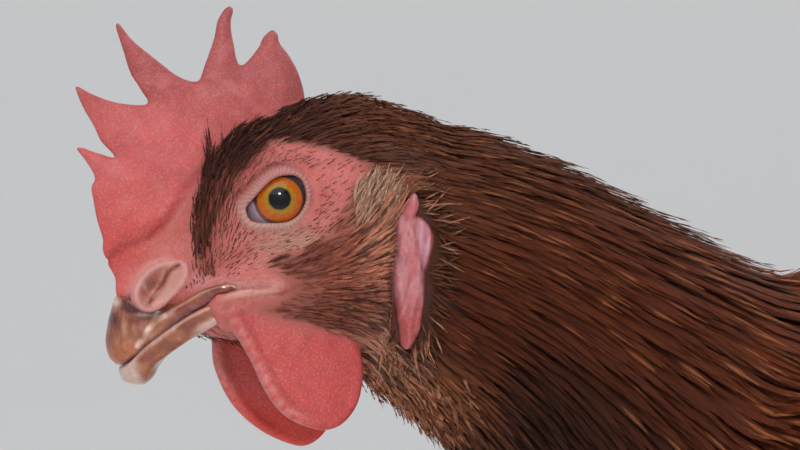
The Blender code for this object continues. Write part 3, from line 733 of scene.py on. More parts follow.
def plumage(fore, up, left):
    """The colour of the coat at a place on the hen."""
    at = partial(spot, fore, up)
    side = np.abs(left)
    breast = ease(-up, 50, 95) * ease(fore, -190, -110)
    fluff = ease(-up, 95, 150) * ease(-fore, 110, 190)
    cheek = ease(fore, -26, -14) * ease(-up, -6, 4)
    jaw = at(-10, -22, 14, 5) * (side > 4)
    throat = ease(fore, -38, -26) * ease(-up, 24, 32)
    return layered(
        (0.074, 0.0185, 0.007),
        ((0.092, 0.037, 0.0225), ease(fore, -60, -25) * ease(up, -12, 12)),
        ((0.034, 0.01, 0.006), ease(up, -75, -45) * ease(-up, 14, 36) * ease(fore, -90, -60) * 0.7),
        ((0.078, 0.0185, 0.0082), ease(-fore, 92, 125)),
        ((0.15, 0.043, 0.016), breast * 0.8),
        ((0.29, 0.115, 0.05), fluff * 0.85),
        ((0.24, 0.09, 0.038), ease(-fore, 250, 290) * ease(-up, 20, 70) * 0.8),
        ((0.125, 0.042, 0.026), ease(fore, -22, -8) * ease(up, 0, 6)),
        ((0.4, 0.122, 0.076), cheek),
        ((0.19, 0.058, 0.038), jaw),
        ((0.5, 0.225, 0.145), at(-17, -8, 5.5, 8.5) * (side > 4) * 0.8),
        ((0.36, 0.145, 0.073), throat * 0.9),
        ((0.55, 0.29, 0.21), at(-17.5, -26, 4.5, 5) * (side > 3) * 0.9),
    )


def flesh(fore, up, left):
    """Colour, pimples and wetness of the skin at each place."""
    at = partial(spot, fore, up)
    outer, side = np.abs(left), np.sign(left)
    tone = plumage(fore, up, left) * 0.8
    near_face = ease(fore, -25, -15)
    tone = mixed(tone, (0.4, 0.15, 0.12), near_face * 0.7)
    bare = ease(-to_edge(BARE_EDGE, fore, up), -0.8, 0.8)
    bare = np.maximum(bare, ease(ahead_of_lores(fore, up), -1, 0.6) * (up > -20))
    face = layered(
        (0.48, 0.148, 0.13),
        ((0.33, 0.085, 0.07), at(11.5, -5, 3.5, 9) * 0.8),
        ((0.34, 0.09, 0.08), at(2, 5.5, 7, 1.8) * 0.6),
        ((0.48, 0.27, 0.22), at(-2.5, -8.5, 6.5, 3.2) * 0.95),
        ((0.53, 0.15, 0.135), at(-10, 3, 5, 4) * 0.7),
        ((0.52, 0.13, 0.115), at(5, -14, 8, 1.8) * 0.8),
        ((0.58, 0.25, 0.245), at(13.8, -16.4, 3.4, 2.6) * 0.85),
    )
    blush = ripple(fore * 0.6, up * 1.2, 0, 5, 4)
    face = face * (1 + 0.1 * blush[:, None] * np.array((0.5, 1, 1)))
    lores = ease(fore, 5, 8) * ease(-up, -12, 0) * (up > -20) * (outer > 3)
    tone = layered(tone, ((0.36, 0.095, 0.08), lores), (face, bare))
    pimples, wet = 0.5 * bare, 0.25 + 0 * bare

    comb = ease(-comb_field(fore, up, left), -1, 0.2)
    fold = bell(to_line(COMB_FOLD, fore, up), 0.9)
    red = layered(
        (0.53, 0.118, 0.12),
        ((0.53, 0.085, 0.078), ease(-up, -8, 10) * ease(fore, 8, 24)),
        ((0.47, 0.06, 0.052), at(27, -11.5, 4, 4.5) * 0.85),
        # painted highlight: the lower end of a pale streak down the front of the comb towards the
        # nostril
        ((0.6, 0.165, 0.155), at(25.8, -14.8, 3, 2.4) * 0.8),
        ((0.32, 0.074, 0.082), ease(up, 11, 25) * 0.85),
        # painted highlight: the upper end of the same pale streak
        ((0.58, 0.19, 0.165), at(21, -10.5, 4.5, 2.5) * 0.6),
        ((0.56, 0.2, 0.19), 0.3 * ease(ripple(fore, up, 0, 5.5, 8), 0.1, 0.9)),
        # painted shade: the crease along the comb's fold is darkened
        ((0.34, 0.035, 0.032), fold * 0.75),
    )
    tone = mixed(tone, red, comb)
    pimples = np.maximum(pimples, comb)

    for wattle in WATTLES:
        inset = -to_edge(wattle[0], fore, up)
        inside = ease(-wattle_field(wattle, fore, up, left), -0.7, 0.1) * ease(inset, -0.8, 0.4)
        rim = ease(2.1 - inset, -0.3, 0.5) * ease(fore, -8, -2)
        bead = 0.55 + 0.45 * ripple(fore, up, 0, 1.5, 1)
        red = layered(
            (0.5, 0.077, 0.076),
            ((0.52, 0.17, 0.16), at(-4, -23.5, 9, 3) * 0.5),
            ((0.6, 0.27, 0.25), rim * bead * 0.75),
            # painted shadow: a dark line just inside the beaded front rim, where the rim stands off
            # the flat of the wattle
            ((0.36, 0.05, 0.045), bell(inset - 2.7, 0.55) * ease(fore, -8, -2) * 0.6),
            ((0.62, 0.06, 0.045), ease(-up, 34, 44) * (wattle[1] < 0)),
        )
        tone = mixed(tone, red, inside * ease(-up, 16.5, 20))
        pimples = np.maximum(pimples, inside)

    lobe = ease(-lobe_field(fore, up, left, side), -0.5, 0.1) * (outer > 10)
    pink = layered(
        (0.54, 0.25, 0.28),
        ((0.62, 0.4, 0.55), at(-27, -9, 1.2, 4) * 0.75),
        ((0.39, 0.082, 0.08), ease(-up, 16, 23) * 0.9),
        ((0.66, 0.33, 0.37), 0.45 * ease(ripple(fore, up * 0.5, 0, 2.4, 9), 0.2, 0.9)),
        ((0.46, 0.11, 0.12), 0.6 * ease(ripple(fore, up * 0.4, 0, 3.3, 2), 0.1, 0.8)),
        ((0.4, 0.1, 0.1), 0.6 * ease(ripple(fore * 1.5, up * 0.7, 0, 1.9, 7), 0.2, 0.9)),
    )
    tone = mixed(tone, pink, lobe)
    pimples = np.maximum(pimples, lobe * 0.7)

    opening = to_edge(LID_EDGE, fore, up)
    wide = lid_width(fore, up)
    lid = ease(opening - wide, 0.5, -0.4) * (outer > 8)
    pale = layered(
        (0.44, 0.245, 0.225),
        ((0.47, 0.35, 0.29), ease(-up, 1, 4.5)),
        ((0.36, 0.15, 0.13), ease(opening, 0.5, -0.1) * 0.7),
        ((0.46, 0.3, 0.28), at(6.5, -3, 1.6, 3) * 0.7),
    )
    # painted shadow: a thin dark line in the groove above and in front of the eye
    lid_groove_shadow = bell(opening - wide - 0.5, 0.55) * ease(up, -3.5, 1.5) * (outer > 8)
    tone = layered(
        tone,
        (pale, lid * 0.9),
        ((0.17, 0.028, 0.022), 0.85 * lid_groove_shadow * ease(fore, -6, 1)),
    )
    wet = np.maximum(wet, 0.6 * ease(opening, 0.8, 0.1) * (outer > 8))

    nose = to_edge(NOSE_EDGE, fore, up)
    inside = ease(-nose, -0.5, 0.2) * (outer > 2.5)
    past_slit = fore - np.interp(up, [-20, -13], [23.4, 18])
    ahead = ease(past_slit, -0.4, 0.8)
    dusk = ahead * at(22.6, -16.6, 1.5, 1.6)
    slit = to_line(NOSTRIL, fore, up)
    behind_slit = bell(slit - 0.75, 0.3) * ahead
    buff = 0.6 * ease(ripple(fore, up, 0, 2.2, 1), 0, 0.9) * (1 - ahead)
    flap_tone = layered(
        (0.48, 0.275, 0.235),
        ((0.3, 0.105, 0.075), ahead * 0.95),
        ((0.17, 0.045, 0.04), dusk * 0.8),
        ((0.42, 0.22, 0.17), ahead * at(19.4, -13.4, 1.6) * 0.7),
        ((0.55, 0.3, 0.22), behind_slit * 0.6),
        ((0.6, 0.37, 0.355), bell(nose + 0.15, 0.5) * 0.9),
        ((0.5, 0.3, 0.2), buff),
        # painted shade: the nostril's slit is dark red inside
        ((0.2, 0.03, 0.025), bell(slit, 0.34)),
    )
    halo = bell(nose - 0.5, 0.7) * ease(past_slit, 0, 2)
    tone = layered(tone, ((0.6, 0.3, 0.28), halo * 0.8 * (outer > 1.5)), (flap_tone, inside))
    wet = np.maximum(wet, inside * 0.6)

    lips = to_line(MOUTH[3:], fore, up)
    corner = ease(lips, 2.6, 1) * (outer > 5) * ease(fore, 12, 8)
    cream = layered(
        (0.6, 0.33, 0.28),
        ((0.54, 0.19, 0.16), ease(up, -16.6, -15.6) * ease(fore, -1.5, 3)),
        # painted shade: a dark line in the slit of the closed mouth
        ((0.24, 0.06, 0.045), bell(lips, 0.32) * ease(fore, 0.5, 3)),
    )
    wet = np.maximum(wet, corner * 0.6)
    creases = ease(lips, 5.2, 2.5) * ease(up, -18, -16.5) * bare * (outer > 4)
    lines = 0.45 + 0.35 * np.sin(lips * 6.5 + 0.6 * ripple(fore, up, 0, 4))
    shade = creases * (1 - inside) * lines
    tone = layered(tone, (cream, corner), ((0.57, 0.25, 0.25), shade))
    # the bare face skin that gets a net of fine wrinkles, with a painted shade in their grooves
    wrinkles_and_shade = bare * (1 - comb) * (1 - lid) * (outer > 4) * (1 - inside)

    lived = ease(fore, -34, -28)[:, None]
    tone = tone * (1 - lived * np.array((0.1, 0.22, 0.22)))
    scaly = ease(FLOOR + 104 - up, 0, 3)
    yellow = layered(
        (0.6, 0.4, 0.13),
        ((0.66, 0.5, 0.24), ease(FLOOR + 30 - up, 0, 24) * 0.6),
        ((0.5, 0.42, 0.27), ease(FLOOR + 2.5 - up, 0, 2)),
    )
    tone = mixed(tone, yellow, scaly)
    return tone, pimples * (1 - scaly), wet + 0.25 * scaly, lid, creases, scaly, wrinkles_and_shade


def paint(made, name, values):
    """Stores one value or colour for each vertex."""
    values = np.asarray(values, np.float32)
    if values.ndim == 1:
        layer = made.data.attributes.new(name, "FLOAT", "POINT")
        layer.data.foreach_set("value", values)
    else:
        values = np.concatenate([values, np.ones((len(values), 1), np.float32)], 1)
        layer = made.data.color_attributes.new(name, "FLOAT_COLOR", "POINT")
        layer.data.foreach_set("color", values.ravel())


class Paint:
    """The nodes of one material. What adds a node gives its output back, to use in the next."""

    def __init__(self, name, **settings):
        self.material = bpy.data.materials.new(name)
        self.material.use_nodes = True
        self.tree = self.material.node_tree
        self.shader = self.tree.nodes["Principled BSDF"]
        for key, value in settings.items():
            self.shader.inputs[key.replace("_", " ")].default_value = value

    def node(self, kind, inputs=None, **settings):
        made = self.tree.nodes.new("ShaderNode" + kind)
        for key, value in settings.items():
            setattr(made, key, value)
        for key, value in (inputs or {}).items():
            self.put(made, key, value)
        return made

    def put(self, made, key, value):
        if isinstance(value, bpy.types.NodeSocket):
            self.tree.links.new(value, made.inputs[key])
        else:
            made.inputs[key].default_value = value

    def stored(self, name, output="Fac"):
        return self.node("Attribute", attribute_name=name).outputs[output]

    def maths(self, one, other, how="MULTIPLY"):
        return self.node("Math", {0: one, 1: other}, operation=how).outputs[0]

    def range(self, value, low, high, to_low=0, to_high=1):
        sockets = {"Value": value, 1: low, 2: high, 3: to_low, 4: to_high}
        return self.node("MapRange", sockets, interpolation_type="SMOOTHSTEP").outputs[0]

    def noise(self, scale, detail=3, place=None, output="Fac", rough=0.5):
        sockets = {"Vector": place or self.where(), "Scale": scale, "Detail": detail}
        sockets["Roughness"] = rough
        return self.node("TexNoise", sockets).outputs[output]

    def cells(self, scale, place=None, feature="F1"):
        sockets = {"Vector": place or self.where(), "Scale": scale}
        return self.node("TexVoronoi", sockets, feature=feature).outputs["Distance"]

    def where(self):
        return self.node("TexCoord").outputs["Object"]

    def tint(self, colour, share, other, how="MIX"):
        sockets = {"Factor": share, 6: colour, 7: other}
        return self.node("Mix", sockets, data_type="RGBA", blend_type=how).outputs[2]

    def bump(self, height, strength, depth, under=None):
        sockets = {"Height": height, "Strength": strength, "Distance": depth}
        if under:
            sockets["Normal"] = under
        return self.node("Bump", sockets).outputs[0]

    def sine(self, value, turns):
        return self.node("Math", {0: self.maths(value, turns)}, operation="SINE").outputs[0]

    def over(self, colour, value, reach, other, how="MULTIPLY"):
        """Lays a colour over another as a value goes from low to high, up to the most."""
        low, high, most = reach
        return self.tint(colour, self.range(value, low, high, 0, most), (*other, 1), how)

    def use(self, key, value):
        self.put(self.shader, key, value)


def finish_piece(made, tone, material):
    """Gives a piece its smooth shading, its colours and its one material."""
    made.data.shade_smooth()
    made.data.materials.clear()
    made.data.materials.append(material)
    paint(made, "Tone", tone)


hide = Paint("living skin", Subsurface_Weight=0.15, Subsurface_Scale=0.0015,
             Specular_IOR_Level=0.32)
hide.shader.inputs["Subsurface Radius"].default_value = (1, 0.3, 0.2)
mottle = hide.noise(700, 4, rough=0.62)
speck = hide.cells(2300, feature="SMOOTH_F1")
colour = hide.stored("Tone", "Color")
colour = hide.over(colour, mottle, (0.42, 0.72, 0.35), (0.8, 0.42, 0.38), "SOFT_LIGHT")
colour = hide.over(colour, mottle, (0.5, 0.28, 0.22), (0.7, 0.5, 0.48))
colour = hide.over(colour, hide.noise(110, 2), (0.35, 0.65, 0.2), (1, 0.82, 0.8))
grains = hide.maths(hide.range(speck, 0.45, 0.15, 0, 0.11), hide.stored("Pimples"))
colour = hide.tint(colour, grains, (0.8, 0.5, 0.47, 1))
pimple = hide.cells(1500, feature="SMOOTH_F1")
height = hide.maths(hide.maths(pimple, speck, "ADD"), hide.stored("Pimples"))
relief = hide.bump(height, 0.3, 0.0002)
relief = hide.bump(hide.noise(3200, 2), 0.3, 0.0001, relief)
# radial wrinkles on the lids; their grooves are darkened by a painted shade
wave = hide.maths(hide.sine(hide.stored("Round"), 46), hide.stored("Lid"))
relief = hide.bump(wave, 0.35, 0.0002, relief)
colour = hide.over(colour, wave, (-0.2, -0.9, 0.36), (0.66, 0.42, 0.4))
fold = hide.maths(hide.sine(hide.stored("Lips"), 7.8), hide.stored("Creases"))
relief = hide.bump(fold, 0.2, 0.0001, relief)
# a net of fine wrinkles sunk into the bare face
net = hide.maths(hide.noise(520, 3, rough=0.6), 0.5, "SUBTRACT")
net = hide.range(hide.maths(net, 0, "ABSOLUTE"), 0.045, 0)
net = hide.maths(net, hide.stored("WrinklesAndShade"))
relief = hide.bump(net, -0.55, 0.0003, relief)
# painted shade: the grooves of the wrinkle net are darkened
colour = hide.tint(colour, hide.maths(net, 0.3), (0.62, 0.3, 0.3, 1), "MULTIPLY")
crack = hide.range(hide.cells(520, feature="DISTANCE_TO_EDGE"), 0, 0.12)
relief = hide.bump(hide.maths(crack, hide.stored("Scaly")), 0.22, 0.0003, relief)
hide.use("Base Color", colour)
hide.use("Normal", relief)
hide.use("Roughness", hide.range(hide.stored("Wet"), 0, 1, 0.6, 0.24))

hen_places = to_hen(places_of(skin.data))
fore, up, _ = hen_places.T
tone, *details = flesh(*hen_places.T)
finish_piece(skin, tone, hide.material)
details += [np.arctan2(up + 0.4, fore - 0.2), to_line(MOUTH, fore, up)]
for name, values in zip(
    ("Pimples", "Wet", "Lid", "Creases", "Scaly", "WrinklesAndShade", "Round", "Lips"), details
):
    paint(skin, name, values)
PAIRED = ("wattle", "ear_lobe", "thigh", "shank", "foot", "wing")
flesh_nodes = [f"{part}_{word}" for word in ("left", "right") for part in PAIRED]
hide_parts("head", "neck", "trunk", "comb", *flesh_nodes)
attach(skin, "root")


# ---------------- the bill
# Two horn sheaths over the jawbones. The upper one ends in a hook and runs back along the mouth
# as a narrow bar. The lower one is shorter, with a blunt tip that shows below the hook.

UPPER_ROWS = np.array([  # top (fore, up), bottom (fore, up), half width, sag
    (20, -12, 12, -19.5, 5.2, 0.3), (24.6, -18.8, 15.4, -21.8, 6.3, 0.34),
    (28.3, -18.5, 19.4, -23.9, 6.2, 0.34), (29.5, -21.4, 21.4, -25.7, 5.7, 0.34),
    (30.2, -24.4, 23.4, -27.3, 5, 0.32), (30.5, -27.2, 25, -29.1, 4.2, 0.28),
    (30, -29.8, 26.2, -30.8, 3, 0.2), (29, -31.7, 27.4, -31.9, 1.3, 0),
])
LOWER_ROWS = np.array([
    (13, -20.4, 8.6, -24.2, 5.4, 0), (17.6, -23.4, 14.2, -26.4, 5.9, -0.1),
    (20.8, -26.2, 17.8, -28.9, 5.3, -0.1), (23.4, -28.8, 20.2, -31.6, 4.7, -0.1),
    (25.9, -30.9, 21.5, -34, 4.2, 0), (27.6, -32.4, 23.3, -35.5, 3.4, 0),
    (28.1, -33.9, 26, -35.6, 1.9, 0),
])
RIDGE = [(24.4, -26.2, 5.2), (22.4, -23.9, 6.1), (20.2, -22.5, 6.8), (16.9, -20.6, 7.7),
         (13.6, -18.5, 8.8), (11.2, -17.5, 9.7), (9.7, -17.1, 10.2), (8, -17, 10.7)]
RIM = [(27.6, -31.1, 2), (26.6, -30.1, 3), (25, -28.5, 4.1), (22.9, -26.6, 5.1),
       (20.9, -25, 5.9), (18.5, -23, 6.7), (15.9, -21.2, 7.5), (13, -19.5, 8.6),
       (10.8, -18.4, 9.3), (9.2, -17.7, 9.9)]
LIP = [(27, -32.6, 2.2), (25.3, -31, 3.5), (23.3, -28.9, 4.8), (20.6, -26.6, 5.9),
       (17.6, -24.5, 6.9), (14.2, -22.4, 8), (10.4, -20.4, 9)]
JAW = [(25.6, -33.4, 2.4), (24, -32, 3.6), (22.3, -30.3, 4.4), (20.2, -28.6, 5.1),
       (18.2, -27.1, 5.8), (15.8, -25.5, 6.7), (13, -24, 7.8), (10.6, -22.7, 8.9)]
GAP = [(27.5, -32), (25.6, -29.7), (24.1, -28.2), (21.8, -26.4), (19.1, -24.3), (17.4, -22.8),
       (14.5, -21.1), (11.6, -19.4), (8.8, -17.7)]
ROOT_BAND = [(28.8, -20.2), (27.3, -20.7), (25.9, -21.6), (24, -22.3), (21.4, -21.8), (19.4, -20.5),
             (17.9, -19.9)]
GLINTS = [(20.6, -22.4), (22.3, -23.3), (23.5, -25), (24.5, -26.9), (25.2, -28)]


def horn_colour(places, upper):
    """Brown horn, darkest at the root and along the mouth, with pale streaks, edges pale from wear,
    painted highlights on the ridge and a painted shade in the mouth's gap.
    """
    fore, up, left = places.T
    at = partial(spot, fore, up)
    edge = to_line(GAP, fore, up)
    streak = ripple(fore * 0.4 + up * 0.2, up * 0.5, left * 2.2, 2.6, 3)
    if upper:
        band = to_line(ROOT_BAND, fore, up)
        root = ease(up, -21.8, -19.8) * ease(fore, 19, 22)
        front = ease(fore - 0.28 * (up + 27), 29.2, 30.2) * (up < -25)
        glint = to_line(GLINTS, fore, up)
        bar = ease(21 - fore, 0, 3)
        crest = to_line(RIDGE[2:], fore, up)
        tone = layered(
            (0.33, 0.145, 0.095),
            ((0.17, 0.055, 0.036), root * 0.85),
            ((0.15, 0.052, 0.052), at(25.6, -23.4, 2.2, 1.2) * 0.8),
            ((0.085, 0.036, 0.04), ease(1.35 - band, 0, 0.9) * 0.92),
            ((0.085, 0.036, 0.044), at(29.3, -23.2, 1.3, 2.2) * 0.9),
            ((0.24, 0.1, 0.08), at(24.9, -25, 0.6, 1.8) * 0.7),
            ((0.22, 0.09, 0.05), front * 0.7),
            ((0.33, 0.115, 0.05), ease(-up, 26.5, 29) * 0.85),
            ((0.5, 0.34, 0.29), at(27.7, -24.6, 0.45, 1.5) * 0.7),
            # painted highlights: pale glints along the shoulder of the ridge
            ((0.78, 0.64, 0.58), ease(0.8 - glint, 0, 0.6) * (0.42 + 0.4 * streak)),
            ((0.17, 0.07, 0.07), at(30, -25.8, 0.9, 2.4) * 0.7),
            ((0.66, 0.5, 0.46), at(28.8, -19.8, 0.7, 1.1) * 0.9),
            ((0.42, 0.34, 0.34), at(24.4, -22.2, 1.8, 0.35) * 0.7),
            ((0.27, 0.115, 0.088), bar),
            # painted highlight along the crest of the bar
            ((0.5, 0.37, 0.34), bar * ease(0.75 - crest, 0, 0.6) * 0.8),
            ((0.195, 0.046, 0.012), bar * ease(2.5 - edge, 0, 0.8) * 0.97),
            # painted shade: the darkest line right in the gap between the jaws
            ((0.115, 0.028, 0.012), ease(0.9 - edge, 0, 0.7) * ease(fore, 8.5, 11) * 0.8),
            ((0.62, 0.42, 0.37), ease(11 - fore, 0, 2.4) * ease(edge, 0.7, 1.1) * 0.9),
        )
        tone = mixed(tone, tone * 1.5 + 0.03, 0.35 * ease(streak, 0.3, 0.9))
        tone = mixed(tone, tone * 0.6, 0.35 * ease(-streak, 0.3, 0.9))
    else:
        patch = ripple(fore * 0.8 + 0.5 * up, up * 1.1, left * 1.3, 4.2, 6)
        middle = ease(edge, 0.5, 1.4) * ease(4.6 - edge, 0, 1.2)
        rear = ease(16.5 - fore, 0, 3.5)
        tone = layered(
            (0.3, 0.118, 0.062),
            ((0.21, 0.064, 0.03), middle * 0.75 * ease(fore, 12, 15)),
            ((0.2, 0.055, 0.024), at(16.8, -24.3, 2, 0.9) * 0.7),
            ((0.22, 0.066, 0.03), at(20.8, -30, 1.2, 1.8) * 0.8),
            ((0.4, 0.18, 0.11), 0.5 * ease(patch, 0.2, 0.8)),
            ((0.24, 0.09, 0.052), 0.4 * ease(-patch, 0.3, 0.9) * middle),
            ((0.52, 0.385, 0.345), ease(1 - edge, 0, 0.5) * 0.7),
            ((0.54, 0.42, 0.4), rear * ease(edge, 2.2, 3.2) * 0.9),
            ((0.56, 0.3, 0.3), rear * ease(1.5 - edge, 0, 0.8) * 0.85),
            ((0.52, 0.45, 0.44), ease(fore - 0.4 * up, 36.8, 39) * 0.92),
            ((0.4, 0.16, 0.085), at(24, -32.4, 1.2, 0.9) * 0.85),
            ((0.36, 0.16, 0.095), ease(-up - 0.3 * (26 - fore), 34.3, 35.3) * 0.7),
            ((0.3, 0.12, 0.08), at(21.6, -33.4, 0.9, 1.5) * 0.7),
            ((0.5, 0.25, 0.22), ease(11.8 - fore, 0, 1.5) * 0.8),
        )
    return np.maximum(tone * (1, 0.86, 0.8) - (0.03, 0.035, 0.04), 0.006)


horn = Paint("bill horn", Roughness=0.24, Coat_Weight=0.6, Coat_Roughness=0.08,
             Subsurface_Weight=0.12, Subsurface_Scale=0.0015, Specular_IOR_Level=0.5)
grain = horn.noise(900, 4)
streaks = horn.node("Mapping", {"Vector": horn.where(), "Scale": (1, 0.35, 0.25)}).outputs[0]
fibres = horn.noise(1900, 3, streaks)
colour = horn.over(horn.stored("Tone", "Color"), grain, (0.45, 0.75, 0.35), (0.7, 0.5, 0.42))
colour = horn.over(colour, fibres, (0.5, 0.75, 0.1), (0.86, 0.68, 0.56), "SCREEN")
horn.use("Base Color", colour)
horn.use("Roughness", horn.range(fibres, 0.3, 0.7, 0.2, 0.42))
horn.use("Normal", horn.bump(fibres, 0.3, 0.0001, horn.bump(grain, 0.2, 0.0002)))
ROUTES = {
    "bill_upper": ((RIDGE, (0.5, 0.9, 1, 1.05, 1, 0.85, 0.7, 0.4)),
                   (RIM, (0.5, 0.7, 0.85, 0.95, 1, 1.05, 1, 0.8, 0.6, 0.4))),
    "bill_lower": ((LIP, (0.7, 0.85, 1, 1.05, 1.1, 1.1, 0.9)),
                   (JAW, (1, 1.2, 1.3, 1.35, 1.35, 1.3, 1.2, 1))),
}
for node, rows in (("bill_upper", UPPER_ROWS), ("bill_lower", LOWER_ROWS)):
    bill_clay = Clay((5, -38, -11.5), (33, -10, 11.5), 0.3)
    F, U, X = np.ix_(*bill_clay.axes)
    fine = along_rows(rows[::-1], np.linspace(0, len(rows) - 1, 40))
    form = sections_field(fine, F, U, X) + 0.05 * ripple(F * 0.5, U * 0.5, X * 1.6, 3.2)
    bill_clay.field = np.float32(form)
    for side in (1, -1):
        for route, radii in ROUTES[node]:
            bill_clay.tube(np.array(route) * (1, 1, side), radii)
    places, faces = bill_clay.skin()
    made = make_mesh(node + "_horn", to_world(places), faces)
    finish_piece(made, horn_colour(places, node == "bill_upper"), horn.material)
    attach(made, "root")
    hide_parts(node)


# ---------------- the eyes
# Wet globes with a round dark pupil, a yellow and orange iris, a dark ring around it and the
# grey edge of the third eyelid in the front lower corner.


def eye_colours(ring, angle):
    """The colour at each angle from the middle of the pupil, and around it."""
    streak = np.sin(angle * 31 + 2 * np.sin(ring * 40)) * np.sin(angle * 17 + ring * 30)
    speck = ripple(ring * 60 * np.cos(angle), ring * 60 * np.sin(angle), 0, 4.5, 2)
    edge = ring + 0.003 * np.sin(angle * 9 + 1)
    inner = ease(ring, 0.28, 0.34) * ease(0.62 - ring, 0, 0.06)
    return layered(
        (0.003, 0.004, 0.007),
        ((0.17, 0.105, 0.008), ease(edge, 0.276, 0.292)),
        ((0.31, 0.16, 0.008), ease(edge, 0.292, 0.33)),
        ((0.42, 0.087, 0.004), ease(edge + 0.03 * speck, 0.38, 0.46)),
        ((0.56, 0.22, 0.012), inner * 0.22 * ease(streak, 0.1, 0.9)),
        ((0.24, 0.05, 0.004), inner * 0.3 * ease(-streak, 0.2, 0.9)),
        ((0.17, 0.055, 0.016), ease(ring, 0.585, 0.612) * 0.8),
        ((0.04, 0.034, 0.044), ease(ring, 0.604, 0.634)),
        ((0.12, 0.1, 0.12), ease(ring, 0.69, 0.8)),
    )


def ring_faces(rows, spokes, middle=None):
    """Faces between rings of places, with a cap on the first ring if its middle has a place."""
    here = np.arange((rows - 1) * spokes)
    beside = here // spokes * spokes + (here + 1) % spokes
    quads = np.stack([here, here + spokes, beside + spokes, beside], -1)
    if middle is None:
        return quads
    cap = np.stack([np.full(spokes, middle), here[:spokes], beside[:spokes]], -1)
    return np.concatenate([quads[:, [0, 1, 2]], quads[:, [0, 2, 3]], cap])


wet_eye = Paint("wet eye", Roughness=0.3, Coat_Weight=0.7, Coat_Roughness=0.01, Coat_IOR=1.38,
                Specular_IOR_Level=0.05)
veins = wet_eye.noise(900, 5, rough=0.7)
colour = wet_eye.stored("Tone", "Color")
wet_eye.use("Base Color", wet_eye.over(colour, veins, (0.4, 0.7, 0.35), (0.62, 0.4, 0.3)))
wet_eye.use("Normal", wet_eye.bump(veins, 0.12, 0.0001))
RINGS, SPOKES = 150, 110
for side, word in ((1, "left"), (-1, "right")):
    middle, gaze, across, rising = eye_axes(side)
    opening = pi * 0.66 * np.linspace(0, 1, RINGS)[1:] ** 1.3
    ring, angle = np.meshgrid(opening, np.arange(SPOKES) / SPOKES * 2 * pi, indexing="ij")
    ring, angle = np.append(ring, 0), np.append(angle, 0)
    bulge = 0.35 * ease(0.62 - ring, 0, 0.5)
    wide, deep = EYE_RADIUS * np.sin(ring), EYE_AXIAL * np.cos(ring) + bulge
    places = (
        middle + deep[:, None] * gaze + (wide * np.cos(angle))[:, None] * across
        + (wide * np.sin(angle))[:, None] * rising
    )
    faces = ring_faces(RINGS - 1, SPOKES, len(places) - 1)
    made = make_mesh(f"eye_{word}_globe", to_world(places), faces[:, ::side])
    tone = eye_colours(ring, angle)
    corner = (places[:, 0] - 2.2) * 0.75 - (places[:, 1] + 2.6) * 0.8
    third = ease(ring, 0.625, 0.655) * ease(corner, 0.3, 1)
    tone = layered(
        tone,
        ((0.14, 0.062, 0.05), third),
        ((0.33, 0.25, 0.31), third * ease(ring, 0.69, 0.73)),
        ((0.17, 0.09, 0.1), third * bell(ring - 0.8, 0.012) * 0.5),
    )
    finish_piece(made, tone, wet_eye.material)
    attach(made, "root")
    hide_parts(f"eye_{word}")


# ---------------- the claws
# Short horn claws that grow from the ends of the toes. Scratching has worn them blunt, and they
# are flat where they bear on the floor.

CLAW_LENGTH = {"inner": 12, "middle": 14, "outer": 11, "hind": 12}
CLAW_ROWS, CLAW_SIDES = 22, 20
nail = Paint("claw horn", Roughness=0.34, Coat_Weight=0.2, Coat_Roughness=0.25)
grain = nail.noise(1400, 4)
colour = nail.stored("Tone", "Color")
nail.use("Base Color", nail.over(colour, grain, (0.4, 0.7, 0.5), (0.55, 0.42, 0.33)))
nail.use("Normal", nail.bump(grain, 0.3, 0.0002))
claw_places, claw_faces, claw_tones = [], [], []
for side in (1, -1):
    for toe, (turn, length, root, tip, height) in TOES.items():
        ahead, out = cos(radians(turn)), sin(radians(turn)) * side
        run = np.linspace(0, 1, CLAW_ROWS)[:, None]
        reach = length - 2 + (CLAW_LENGTH[toe] + 2) * run
        arch = 1.3 * np.sin(run * pi * 0.8)
        up = FLOOR + tip * (1 - run) + 0.9 * run + arch
        radius = np.maximum(2.5 * (1 - run) + 0.6 * run, 0)
        radius = radius * np.sqrt(np.minimum(1, (1.02 - run) * 9))
        around = np.arange(CLAW_SIDES) / CLAW_SIDES * 2 * pi
        off = np.cos(around)[None] * radius * 0.88
        lift = np.sin(around)[None] * radius
        lift = np.where(lift < 0, lift * 0.75, lift)
        before = CLAW_ROWS * CLAW_SIDES * len(claw_places)
        claw_faces.append(ring_faces(CLAW_ROWS, CLAW_SIDES) + before)
        claw_places.append(np.stack([
            FOOT_FORE + ahead * reach - out * off,
            np.maximum(up + lift, FLOOR + 0.1),
            side * FOOT_LEFT + out * reach + ahead * off,
        ], -1).reshape(-1, 3))
        run = np.repeat(run, CLAW_SIDES)
        claw_tones.append(layered(
            (0.42, 0.3, 0.19),
            ((0.3, 0.2, 0.13), ease(run, 0.1, 0.7)),
            ((0.62, 0.5, 0.38), ease(run, 0.75, 1)),
        ))
claws = make_mesh("claws", to_world(np.concatenate(claw_places)), np.concatenate(claw_faces))
finish_piece(claws, np.concatenate(claw_tones), nail.material)
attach(claws, "root")
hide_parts(*[f"claw_{toe}_{word}" for toe in TOES for word in ("left", "right")])


# ---------------- feathers: how they lie
# Every feather is rooted in the skin and lies back over the next one like a roof tile. It is a
# thin shaft line with a row of barb tufts on each side, cupped a little towards the body.

skin.data.calc_loop_triangles()
corner_list = np.empty(len(skin.data.loop_triangles) * 3, np.int32)
skin.data.loop_triangles.foreach_get("vertices", corner_list)
corner_list = corner_list.reshape(-1, 3)
skin_tree = BVHTree.FromPolygons(hen_places.tolist(), corner_list.tolist())
rng = np.random.default_rng(20)


def unit(ways):
    return ways / (np.linalg.norm(ways, axis=-1, keepdims=True) + 1e-9)


